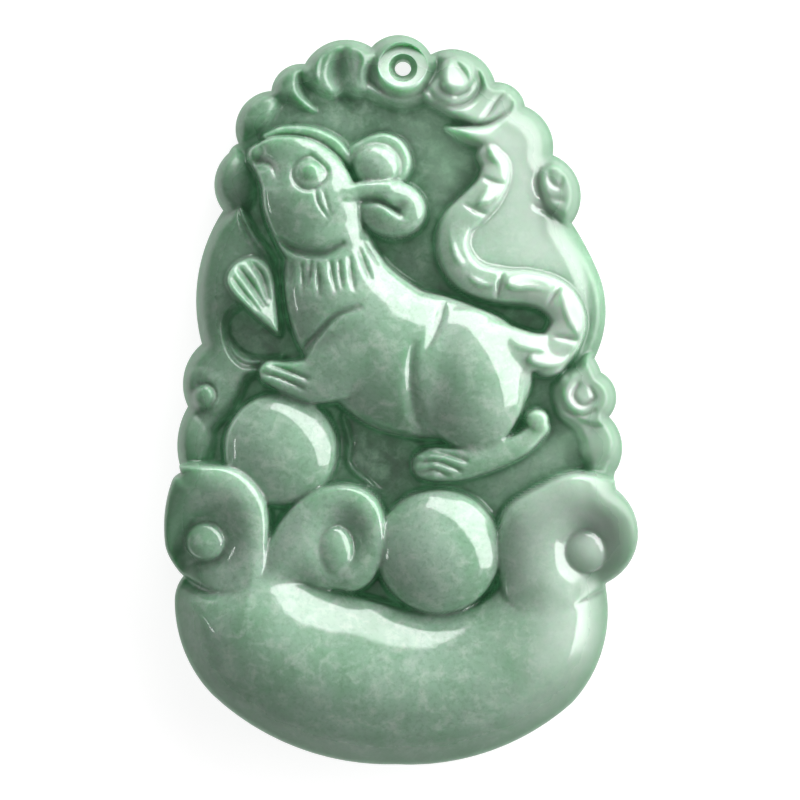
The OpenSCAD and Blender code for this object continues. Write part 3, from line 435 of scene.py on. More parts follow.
# Carving work, in the order that the stone is worked, with all values as shares:
# Slab: edge roll, rim roll, foot, top, form, blend, line, (rise per x, rise per y, x, y)
# Ridge: foot, form, blend, line of (x, y, half width, top)
# Dome: x, y, half width, half length, turn, foot, top, form, blend
# Cut: line of (x, y, half width, depth)
# Pit: x, y, half width, half length, turn, depth
BORDER_WORK: tuple[Work, ...] = (
    # Broad slab right of the tail
    Slab(2.5, 4.1, 32, 63, -48, 4, (
        (6, 37.1), (8.4, 37.5), (11.7, 37.8), (14.3, 39.7), (16.3, 42.1), (27.2, 40.8), (34, 27.2),
        (34, 9.5), (27.2, 2.1), (23.8, 3.7), (21.8, 6.5), (23.7, 9.5), (22.6, 12.5), (19.7, 14.1),
        (13.6, 15.2), (9, 17.4), (7.5, 20.6), (8.2, 23.9), (12.3, 28.3), (12.5, 31.5), (11.2, 33.7),
        (8.4, 35.1),
    ), (-2, 0, 12.3, 27.3)),
    # Left rim
    Slab(2.5, 4.7, 32, 55, -50, 4, (
        (-24.3, 25.1), (-21.8, 26.6), (-20.2, 23.4), (-18.3, 20.8), (-16.9, 18.2), (-18.8, 15.7),
        (-21, 13), (-23, 11.1), (-23, 8.4), (-21.4, 5.8), (-18.5, 4.8), (-15.3, 5.4), (-15.5, 4.3),
        (-20.2, 2.9), (-21.8, -0.1), (-25.2, -2.8), (-28.6, -0.1), (-32.7, 9.5), (-32, 21.7),
    )),
    # Upper crescent of the left rim
    Slab(0.3, 0, 32, 54, -50, 1, (
        (-21.9, 26.9), (-20.7, 25.4), (-19.4, 23), (-17.9, 20.9), (-16.8, 18.7), (-18.1, 19.2),
        (-19.8, 20.9), (-21.1, 23), (-21.9, 25),
    ), (-2.38, -1.38, -19.6, 22.4)),
    # Lower crescent of the left rim
    Slab(0.3, 0, 32, 52, -50, 1, (
        (-23.9, 10.3), (-22.6, 8), (-21, 6.5), (-18.8, 5.9), (-15.4, 6.1), (-17.7, 5), (-20.5, 4.4),
        (-22.5, 5.2), (-23.7, 7.4),
    ), (-1.69, -2.15, -21.2, 6.2)),
    # Lower left lobes
    Slab(1.9, 3.6, 32, 51, -50, 4, (
        (-29.7, 8.1), (-25.2, 6.8), (-21.8, 2), (-22.4, -1.4), (-25.2, -4.4), (-26.3, -9.6),
        (-32.7, -11), (-34.1, -0.1),
    )),
    # Upper left lobe
    Dome(-23.4, 30.1, 3.7, 5.2, 20, 31, 51, -50, 4),
    # Large upper left lobe
    Slab(2.5, 3.6, 32, 47, -50, 6, (
        (-24.3, 34), (-24.3, 40.9), (-20.5, 45), (-16.9, 43), (-16.1, 41.1), (-16.9, 38.7),
        (-18.8, 37), (-21.3, 35.4),
    )),
    # Petal beside the top left scroll
    Slab(1.9, 2.7, 32, 49, -55, 4, (
        (-18, 41.4), (-18, 44.9), (-13.6, 47.7), (-12, 45.2), (-13.2, 43.9), (-13, 41.9),
        (-11.3, 39.5), (-12.8, 39.5), (-15, 40.6), (-16.6, 40.8),
    )),
    # Top left scroll
    Slab(2.1, 2.5, 32, 52, -52, 5, (
        (-13.6, 43.8), (-13.4, 47.7), (-9.5, 50.4), (-5.2, 50.4), (-2.7, 47.4), (-3.8, 44.4),
        (-4.1, 41.9), (-5.7, 41.1), (-7.6, 41.4), (-9.5, 41.1), (-11.7, 42.2),
    )),
    # Hollow of the top left scroll
    Cut((
        (-7.7, 47.7, 0.8, 3.2), (-8.3, 46.1, 1.2, 8.4), (-8.3, 44.1, 1.4, 12.6), (-7.5, 42, 1.2, 10.5),
        (-6.4, 40.4, 1, 3.2),
    )),
    # Inner crescent of the top left scroll
    Ridge(34, -50, 1, (
        (-9, 47.9, 0.5, 49), (-10.6, 46.8, 0.8, 54), (-11.3, 45, 1, 55), (-10.9, 43.1, 0.8, 53),
        (-9.3, 41.8, 0.5, 45),
    )),
    # Crest between the top left scroll and the hole lobe
    Ridge(34, -50, 2, (
        (-6.5, 48.3, 0.7, 49), (-4.9, 46.5, 1, 55), (-5.3, 44.2, 1, 54), (-4.8, 42.1, 0.8, 51),
    )),
    # Band under the hole lobe
    Ridge(29, -50, 2, (
        (-4.6, 42.6, 1.2, 49), (-2.4, 41.4, 1.2, 53), (0.3, 40.8, 1.2, 53), (2.7, 41.4, 1.2, 53),
    )),
    # Hole lobe
    Dome(0.4, 45, 5.1, 4.9, 0, 27, 57, 0.35, 1),
    # Top right scroll
    Slab(1, 1.6, 32, 54, -52, 4, (
        (2.7, 41.4), (4.9, 44.9), (5.5, 49), (10.9, 49), (14.7, 43.6), (17.7, 42.5), (16.6, 39.7),
        (14.3, 38.1), (10.9, 37.1), (7.6, 38.1), (5.5, 39.2),
    ), (-1.31, -1.31, 9.6, 42.6)),
    # Outer spiral of the top right scroll
    Cut((
        (3.3, 42.8, 0.5, 3.2), (4.9, 40.7, 0.5, 5.8), (7.1, 39.9, 0.5, 6.3), (9.5, 40.7, 0.5, 6.3),
        (10.9, 42.6, 0.5, 5.3), (10.6, 44.5, 0.4, 2.6),
    )),
    # Middle of the top right scroll
    Slab(0.5, 0, 38, 64, -45, 2, (
        (5.2, 44.9), (6.3, 46.6), (8.2, 47), (10.1, 45.9), (10.5, 43.8), (9.3, 41.9), (7.1, 41.3),
        (5.4, 42.4),
    ), (-1.96, -1.96, 7.8, 44.4)),
    # Inner spiral of the top right scroll
    Cut((
        (7.2, 46.5, 0.3, 1.3), (8, 45.2, 0.4, 2.6), (9, 43.8, 0.4, 2.9), (9, 42.3, 0.4, 2.6),
        (7.6, 41.2, 0.3, 1.3),
    )),
    # Line beside the leaf tip
    Cut(((10.6, 37.4, 0.3, 1.6), (12, 39, 0.4, 3.2), (13.3, 40.9, 0.4, 2.6), (14.7, 42.3, 0.3, 1.1))),
    # Small right curl
    Slab(1.6, 2.5, 29, 56, -45, 4, (
        (18.5, 31), (20.2, 32.6), (22.6, 32.6), (27.3, 29.2), (27.3, 25.1), (23.9, 23.4), (20.7, 25),
        (18.8, 27.7),
    ), (-1.08, -0.31, 20.3, 28.7)),
    # Outer line of the small right curl
    Cut(((19.1, 31.4, 0.4, 1.1), (18.7, 29.3, 0.5, 1.7), (19.8, 27.6, 0.5, 1.9), (22, 27.2, 0.4, 1.1))),
    # Inner line of the small right curl
    Cut(((20.1, 31.2, 0.4, 1.1), (20.4, 29.7, 0.4, 1.9), (21.5, 29, 0.4, 1.9), (22, 30.1, 0.3, 1.1))),
    # Line below the small right curl
    Cut(((18.5, 26.3, 0.5, 1.1), (20.9, 25.3, 0.5, 2.1), (23.6, 24.1, 0.5, 3.2))),
    # Lower right lobes
    Slab(1.9, 2.7, 27, 52, -45, 4, (
        (20.7, 2.1), (23.5, 4), (25.9, 6.5), (32.7, 5.4), (35.5, -11.8), (25.9, -11.8), (25.1, -8),
        (23.7, -4.4), (21.3, -2),
    ), (-1.23, 0, 24, -2.8)),
    # Lower right scroll
    Slab(1.6, 1.9, 29, 59, -45, 3, (
        (21.5, 3.2), (23.7, 4.6), (26.2, 6.5), (32.7, 4), (32.7, -2.8), (28.6, -4.2), (24.8, -3.7),
        (22.1, -1.7), (21, 0.7),
    ), (-1.54, 0, 22.6, 0.6)),
    # Outer spiral of the lower right scroll
    Cut((
        (22.8, 3.2, 0.4, 2.6), (21.7, 1, 0.5, 4.4), (22.5, -1.2, 0.5, 4.4), (24.7, -2.1, 0.4, 3.2),
        (26.3, -1.4, 0.4, 1.6),
    )),
    # Inner spiral of the lower right scroll
    Cut((
        (24.2, 2.1, 0.4, 2.1), (23.5, 0.5, 0.4, 3.4), (24.7, -0.7, 0.4, 3.4), (26.3, 0.2, 0.4, 2.6),
        (25.8, 1.6, 0.3, 1.3),
    )),
    # Lowest right lobe
    Dome(27.2, -5.8, 2.7, 3.7, -15, 29, 52, -45, 3),
    # Small left scroll
    Ridge(34, -48, 2, (
        (-28.8, 2.1, 1.6, 51), (-27.2, 3.7, 1.6, 53), (-24.4, 2.6, 1.6, 55), (-22.6, 0.9, 1, 51),
    )),
    # Middle of the small left scroll
    Dome(-26, 0.5, 2.5, 2.6, 0, 34, 59, -48, 1),
    # Spiral of the small left scroll
    Cut((
        (-27.4, 2.1, 0.3, 3.2), (-25.8, 2.1, 0.3, 5.3), (-24.9, 0.5, 0.3, 5.3),
        (-25.8, -1.2, 0.3, 3.2),
    )),
    # Lowest left lobe
    Dome(-28.2, -5.5, 3, 4.4, 0, 29, 55, -42, 3),
    # Step on the ground under the belly
    Ridge(31, -50, 1, (
        (-7.8, -2, 0.5, 36), (-6.8, -5.8, 0.5, 39), (-6.9, -8.8, 0.5, 39), (-4.4, -11.2, 0.5, 39),
        (-2.2, -12.9, 0.4, 36),
    )),
)

WAVES_WORK: tuple[Work, ...] = (
    # Boat body
    Slab(14.8, 15.1, 32, 98, -45, 0, (
        (-33.9, -22.6), (-28.5, -21.2), (-23.3, -19.9), (-18.7, -19), (-13.6, -22.7), (-8.7, -25.7),
        (-3.5, -27), (1.6, -28.3), (6.2, -28.7), (10.8, -27.3), (13.7, -24.5), (15.9, -20.7),
        (21.7, -17.7), (32.5, -17.7), (35.2, -40.7), (16.3, -54.3), (-13.6, -54.3), (-33.9, -43.5),
    )),
    # Left wave
    Slab(3.6, 3.3, 32, 89, -50, 15, (
        (-33.9, -10.9), (-30.1, -8.8), (-26.5, -8.5), (-22.3, -9), (-19.3, -11.2), (-17.6, -14.7),
        (-17.5, -19.7), (-18.2, -23.7), (-21, -25.9), (-25.1, -26.1), (-27.8, -25), (-29.6, -24),
        (-33.9, -23.1),
    ), (0, 0.92, -24.6, -13.8)),
    # Hollow of the left wave
    Pit(-27, -19.3, 4.9, 5.5, 15, 27),
    # Low rim of the left wave
    Pit(-29.7, -22, 1.9, 1.9, 0, 11),
    # Eye of the left wave
    Dome(-26.2, -19.1, 3, 2.9, 0, 34, 78, -48, 1),
    # Spiral round that eye
    Ridge(34, -50, 1, (
        (-28.7, -17.9, 0.2, 69), (-28, -16.7, 0.3, 74), (-25.9, -16.1, 0.4, 76),
        (-24.2, -16.9, 0.4, 76), (-23.4, -18.7, 0.4, 76), (-23.6, -20.5, 0.3, 74),
        (-24.7, -21.6, 0.2, 69),
    )),
    # Middle wave
    Slab(4.1, 0, 32, 89, -50, 5, (
        (-21, -32.6), (-20.6, -25.9), (-16.8, -16.9), (-12.9, -12.8), (-8.8, -11.2), (-4.9, -11.7),
        (-2.3, -14.3), (-1.6, -19.1), (-3, -23.8), (-5.7, -26.1), (-8.7, -25.9), (-11.1, -25.6),
        (-13.6, -24.9), (-15.7, -26.1), (-17.9, -29.7),
    ), (0.46, 0.46, -6.8, -13.8)),
    # Hollow of the middle wave
    Pit(-7.7, -19, 3.3, 4.4, 0, 16),
    # Eye of the middle wave
    Dome(-8.6, -20.4, 2.7, 3.8, 0, 36, 84, -48, 1),
    # Spiral round that eye
    Ridge(36, -50, 1, (
        (-10.5, -17.6, 0.2, 74), (-9.4, -16.8, 0.3, 77), (-7.8, -16.7, 0.4, 79),
        (-6.5, -17.7, 0.4, 79), (-5.9, -19.5, 0.4, 78), (-6.6, -21.7, 0.3, 76), (-7.7, -23.3, 0.2, 73),
    )),
    # Right wave
    Slab(4.9, 4.1, 32, 93, -48, 17, (
        (13.6, -26.1), (12.9, -20.1), (14.1, -14.7), (18.7, -11.5), (23.7, -9.6), (29.8, -10.9),
        (35.3, -13.6), (35.3, -23.8), (30.5, -24.8), (27.7, -25.8), (23.7, -28), (19.7, -29.6),
        (16.3, -28.8),
    ), (0.15, 0.92, 20.5, -13.8)),
    # Hollow of the right wave
    Pit(25, -19.8, 3.8, 4.4, 0, 20),
    # Eye of the right wave
    Dome(25.2, -20.4, 3.3, 3.3, 0, 38, 82, -48, 1),
    # Spiral round that eye
    Ridge(38, -50, 1, (
        (22, -19.1, 0.2, 72), (22.8, -17.9, 0.3, 77), (25.1, -17.3, 0.4, 79), (27.3, -18.1, 0.4, 79),
        (28.3, -19.8, 0.4, 78), (28.1, -21.4, 0.2, 73),
    )),
)

BALLS_WORK: tuple[Work, ...] = (
    # Left ball
    Dome(-16.2, -6.7, 7.9, 7.9, 0, 27, 88, -50, 0),
    # Right ball
    Dome(5.2, -20.5, 8.7, 8.7, 0, 29, 95, -50, 0),
)

TAIL_WORK: tuple[Work, ...] = (
    # Tail
    Ridge(27, -47, 0, (
        (20, 5.9, 2.9, 79), (22, 8.3, 2.7, 78), (22.7, 11, 2.6, 77), (21.1, 13.7, 2.6, 77),
        (17.8, 15.1, 2.5, 77), (13.5, 15.5, 2.5, 77), (9.4, 16.9, 2.5, 77), (7.3, 20.2, 2.5, 77),
        (7.7, 23.7, 2.5, 76), (10.3, 26.4, 2.5, 74), (12.3, 28.9, 2.3, 72), (12.9, 31.6, 2.1, 68),
        (11.8, 33.4, 1.6, 64),
    )),
    # Flats of the tail
    Slab(0.3, 0, 32, 68, -50, 1, (
        (11.7, 34.6), (13.2, 34.4), (14.2, 32.6), (14.3, 30.1), (13.2, 29.9), (12.8, 31.6), (11.8, 33),
    ), (-2.49, -1.16, 13.3, 32.4)),
    Slab(0.3, 0, 32, 74, -50, 1, (
        (12, 29.4), (14.1, 29.4), (13.5, 27.7), (12, 26.3), (10.1, 26.3), (10.9, 28.1),
    ), (-2.35, -1.36, 12.2, 28)),
    Slab(0.3, 0, 32, 77, -50, 1, (
        (6.5, 24.5), (9.1, 24.4), (8.2, 22.6), (8.2, 20.3), (9.1, 18.4), (8.3, 17.6), (6.9, 19.1),
        (6.3, 22),
    ), (-2.49, -1.16, 7.5, 21.3)),
    Slab(0.3, 0, 32, 77, -50, 1, (
        (8.8, 17.9), (10.5, 17.2), (13.9, 16.9), (13.3, 15.3), (10.9, 15), (9.1, 16.1),
    ), (-1.01, -2.77, 11.4, 16.4)),
    Slab(0.3, 0, 32, 77, -50, 1, (
        (14.3, 16.9), (16.7, 17.5), (19.4, 16.8), (20.9, 15.3), (20.1, 14.3), (17.7, 14.6),
        (15.4, 14.6), (14, 15.4),
    ), (-0.92, -2.84, 17.5, 15.9)),
    Slab(0.3, 0, 32, 77, -50, 1, (
        (21.2, 14.9), (22.3, 14.7), (23.7, 12.6), (24.5, 9.9), (24.1, 8.4), (22.7, 9.6), (21.6, 12.2),
    ), (-2.49, -1.16, 23.1, 11.8)),
    Slab(0.3, 0, 32, 80, -50, 1, (
        (17.3, 6.5), (20.8, 7.9), (22.7, 7.7), (23.8, 6.9), (22.3, 4.7), (20, 4), (17.3, 4.7),
    ), (-1.91, -1.91, 20.5, 6)),
    # Lines across the tail
    Cut(((11.2, 30.2, 0.3, 2.1), (12.8, 29.5, 0.4, 3.2), (14.6, 29.1, 0.3, 1.6))),
    Cut(((8.9, 26.4, 0.3, 1.6), (10.5, 25.6, 0.4, 3.2), (12.1, 25, 0.3, 2.1))),
    Cut(((13.1, 13.2, 0.3, 1.6), (13.4, 15.2, 0.4, 3.7), (13.8, 17.2, 0.3, 2.1))),
    Cut(((20, 12.7, 0.3, 1.6), (20.9, 14.2, 0.4, 3.7), (22, 15.6, 0.3, 2.1))),
    Cut(((20.8, 8.6, 0.3, 1.6), (22.7, 8.3, 0.4, 3.7), (24.8, 7.8, 0.3, 2.1))),
)

FAR_LEG_WORK: tuple[Work, ...] = (
    # Raised paw
    Slab(1.1, 0, 29, 79, -50, 0, (
        (-23.6, 16.6), (-22.4, 18.7), (-20.2, 19.6), (-18.1, 19.1), (-16.9, 17.3), (-16.4, 13.2),
        (-16.2, 8.9), (-18.2, 10), (-20.9, 12.4), (-23, 14.6),
    ), (-2.15, -1.54, -20.3, 13.6)),
    # Toe lines
    Cut(((-21.6, 17.7, 0.3, 3.7), (-20, 15.6, 0.4, 5.3), (-18.3, 12.9, 0.4, 2.6))),
    Cut(((-20.1, 18.7, 0.3, 2.6), (-18.6, 16.7, 0.4, 5.3), (-17.8, 13.7, 0.4, 3.2))),
    Cut(((-22.5, 16.4, 0.3, 2.6), (-20.8, 14.2, 0.3, 4.2), (-19.2, 12.3, 0.3, 2.1))),
)

# Fur strokes at the neck: (x, y) of three points of each, and their (half width, depth)
FUR_STROKES: tuple[tuple[Knot, ...], ...] = (
    ((-15.5, 18.8), (-15.4, 17.3), (-15.2, 15.9)),
    ((-14.6, 18.6), (-14.6, 17.1), (-14.7, 15.6)),
    ((-13.1, 18.3), (-13, 16.4), (-13, 14.5)),
    ((-11.9, 18.6), (-12.1, 16.9), (-12.3, 15.3)),
    ((-11.1, 18.3), (-10.9, 16.3), (-10.8, 14.2)),
    ((-9.3, 18.6), (-9, 16.7), (-8.6, 14.8)),
    ((-8.1, 18.6), (-8, 16.9), (-7.8, 15.3)),
    ((-6.7, 19.1), (-6.5, 17.1), (-6.2, 15)),
    ((-5.4, 20.2), (-4.7, 18.3), (-4, 16.4)),
    ((-4.3, 21), (-3.6, 19.8), (-3, 18.6)),
)
FUR_SHAPE: tuple[Knot, ...] = ((0.3, 2.6), (0.4, 4.7), (0.3, 2.1))

RAT_WORK: tuple[Work, ...] = (
    # Neck and barrel
    Ridge(21, -50, 0, (
        (-9.4, 20.1, 6, 86), (-8.9, 16.6, 7.1, 91), (-6.5, 11.5, 8.5, 94), (-1.1, 6.1, 9.9, 97),
        (4.3, 4.5, 10, 96), (9.1, 3.7, 9, 95),
    )),
    # Haunch
    Dome(9.4, 2.9, 7.8, 10.1, 8, 21, 100, -50, 3),
    # Root of the tail
    Ridge(25, -48, 5, ((12.4, 7.5, 3.6, 89), (17.2, 6.5, 3, 84), (20.5, 6.7, 2.6, 78))),
    # Flat of the tail root
    Slab(0.3, 0, 32, 85, -50, 1, (
        (14.4, 8.9), (15.8, 8.8), (17.7, 8.1), (19.8, 7.3), (19.8, 6.3), (17.7, 6.2), (15.5, 6.7),
        (14.4, 7.5),
    ), (-1.4, -2.42, 17, 7.3)),
    # Hind foot
    Ridge(25, -48, 5, (
        (18.9, -3.7, 1.5, 79), (16.2, -6, 1.8, 80), (12.1, -7.6, 2.2, 82), (8.1, -8.6, 2.5, 83),
        (4.9, -8.7, 2.6, 83), (3.8, -8.8, 2.3, 81),
    )),
    # Heel
    Dome(18.5, -2.8, 1.8, 1.8, 0, 25, 82, -48, 3),
    # Toe lines
    Cut(((3, -7.1, 0.3, 2.6), (5.7, -7.1, 0.3, 4.2), (8.9, -8.2, 0.3, 2.6))),
    Cut(((2.2, -8.4, 0.3, 2.6), (5.1, -8.3, 0.3, 4.2), (8.1, -9.5, 0.3, 2.6))),
    Cut(((2.7, -9.8, 0.3, 2.6), (4.6, -9.4, 0.3, 3.7), (6.2, -10.1, 0.3, 2.6))),
    # Shoulder and near foreleg
    Ridge(23, -48, 3, (
        (-3, 8, 6.3, 96), (-7, 5.3, 5.2, 94), (-11, 2.9, 3.6, 88), (-14.8, 3, 2.5, 83),
        (-17.4, 3.7, 1.9, 80),
    )),
    # Toe lines
    Cut(((-18.6, 3.7, 0.3, 2.6), (-15.9, 3, 0.3, 4.7), (-13, 1.6, 0.3, 2.6))),
    Cut(((-17.5, 4.8, 0.3, 2.6), (-15.1, 4, 0.3, 4.7), (-12.4, 2.9, 0.3, 2.6))),
    # Snout and cheek
    Ridge(27, -46, 2, (
        (-18.7, 33, 2.1, 72), (-16.2, 32.2, 3.8, 82), (-13.4, 29.9, 5.7, 92), (-12, 26.7, 6.7, 95),
        (-10.9, 23.1, 6.2, 92),
    )),
    # Fold behind the crown
    Ridge(27, -50, 3, (
        (-18.2, 35.9, 0.6, 59), (-15.6, 36.6, 0.9, 63), (-11.9, 36.2, 1.1, 67), (-8.9, 34.7, 1.2, 71),
        (-6.8, 32.4, 1, 69),
    )),
    # Crease under the jaw
    Cut((
        (-16.1, 21.5, 0.5, 5.3), (-13.8, 20.2, 0.7, 8.4), (-10.5, 19.9, 0.7, 8.4),
        (-7.8, 21.1, 0.5, 4.2),
    )),
    # Mouth
    Cut((
        (-20.8, 31.8, 0.5, 5.3), (-19.4, 32.4, 0.5, 5.8), (-17.8, 32.2, 0.5, 4.2),
        (-16.9, 31.2, 0.5, 3.2), (-16.6, 30, 0.4, 1.3),
    )),
    # Crease over the shoulder
    Cut(((-14, 5.9, 0.4, 5.3), (-11.3, 8.7, 0.5, 6.3), (-8.6, 11.4, 0.5, 5.3), (-5.4, 12.6, 0.4, 2.6))),
    # Crease before the haunch
    Cut(((1.9, 7.4, 0.7, 2.1), (1.5, 3.7, 0.8, 4.2), (2, -1.4, 1, 3.7), (3.8, -5.5, 0.8, 2.1))),
    # Notch over the haunch
    Cut(((5.9, 13.4, 0.5, 1.6), (5.5, 11.5, 0.7, 4.2), (4.6, 8.8, 0.7, 3.7), (3.5, 6.4, 0.5, 1.1))),
    # Hollow round the eye
    Cut((
        (-12, 33, 0.4, 3.2), (-13.9, 32, 0.4, 3.4), (-14.3, 30, 0.4, 3.4), (-13, 28.5, 0.4, 3.4),
        (-10.9, 28.8, 0.4, 3.4), (-9.8, 30.8, 0.4, 3.2), (-12, 33, 0.4, 3.2),
    )),
    # Eye
    Dome(-12, 30.7, 1.6, 1.6, 0, 69, 96, -50, 2),
    # Lines under the eye
    Cut(((-11.3, 28.3, 0.2, 2.1), (-10.9, 26.4, 0.2, 2.9), (-9.7, 24.6, 0.2, 1.6))),
    Cut(((-10.3, 28.3, 0.2, 1.9), (-9.8, 26.6, 0.2, 2.6), (-9.3, 24.9, 0.2, 1.3))),
    # Far ear
    Slab(1.2, 0, 29, 71, -50, 0, (
        (-7.1, 33.7), (-5.2, 35.6), (-2.2, 36.5), (0.5, 35.3), (1.8, 32.6), (1.1, 30.1), (-1.4, 28.5),
        (-5.4, 28.8),
    )),
    # Bulb behind the far ear
    Dome(-3.1, 31.7, 3.4, 3.1, -20, 36, 83, -50, 2),
    # Near ear
    Dome(-1.1, 25.9, 4.9, 4.1, -10, 27, 88, -48, 2),
    # Fold in the near ear
    Cut((
        (-4.9, 26.9, 0.4, 4.2), (-2.7, 26.8, 0.4, 9.5), (-0.8, 25.8, 0.4, 8.4), (0.3, 24.9, 0.4, 3.2),
    )),
    # Bridge from the brow to the near ear
    Ridge(53, -50, 8, (
        (-7, 27.9, 1.4, 86), (-5.4, 28.3, 1.4, 86), (-3.5, 28.6, 1.2, 86), (-1.6, 28.8, 1.1, 85),
    )),
    # Hollow of the near ear
    Pit(0, 26, 1.2, 1, 0, 5),
    # Fur strokes
    *(Cut(tuple((*place, *shape) for place, shape in zip(stroke, FUR_SHAPE))) for stroke in FUR_STROKES),
)


@dataclass(frozen=True)
class Layer:
    """A group of forms that meet the others with a plain edge."""

    name: str
    start: float
    wall: float
    works: tuple[Work, ...]


@dataclass(frozen=True)
class Arc:
    """An arc of the outline, in mm and radians."""

    middle: Vector
    radius: float
    angle: float
    sweep: float

    def points(self, share: Array) -> Array:
        """Places at shares of the way along: middle + radius (cos, sin) of the swept angle."""
        turn = self.angle + self.sweep * share
        return np.stack([self.middle.x + self.radius * np.cos(turn),
                         self.middle.y + self.radius * np.sin(turn)], axis=-1)

    @property
    def length(self) -> float:
        """Length along the arc."""
        return self.radius * abs(self.sweep)


def arc_between(start: Vector, end: Vector, rise: float) -> Arc:
    """Arc from start to end, clockwise round the stone, that bulges outward by rise.

    Args:
        start: First point, mm.
        end: Last point, mm.
        rise: Height of the bulge over the chord, under 0 for a hollow, mm.

    Returns:
        The arc, of signed radius (c^2 / 4 + rise^2) / (2 rise) for a chord c.
    """
    chord = end - start
    out = Vector((-chord.y, chord.x)).normalized()
    radius = (chord.length_squared / 4 + rise * rise) / (2 * rise)
    middle = (start + end) / 2 - out * (radius - rise)
    first = math.atan2(start.y - middle.y, start.x - middle.x)
    last = math.atan2(end.y - middle.y, end.x - middle.x)
    sweep = -((first - last) % math.tau) if rise > 0 else (last - first) % math.tau
    return Arc(middle, abs(radius), first, sweep)


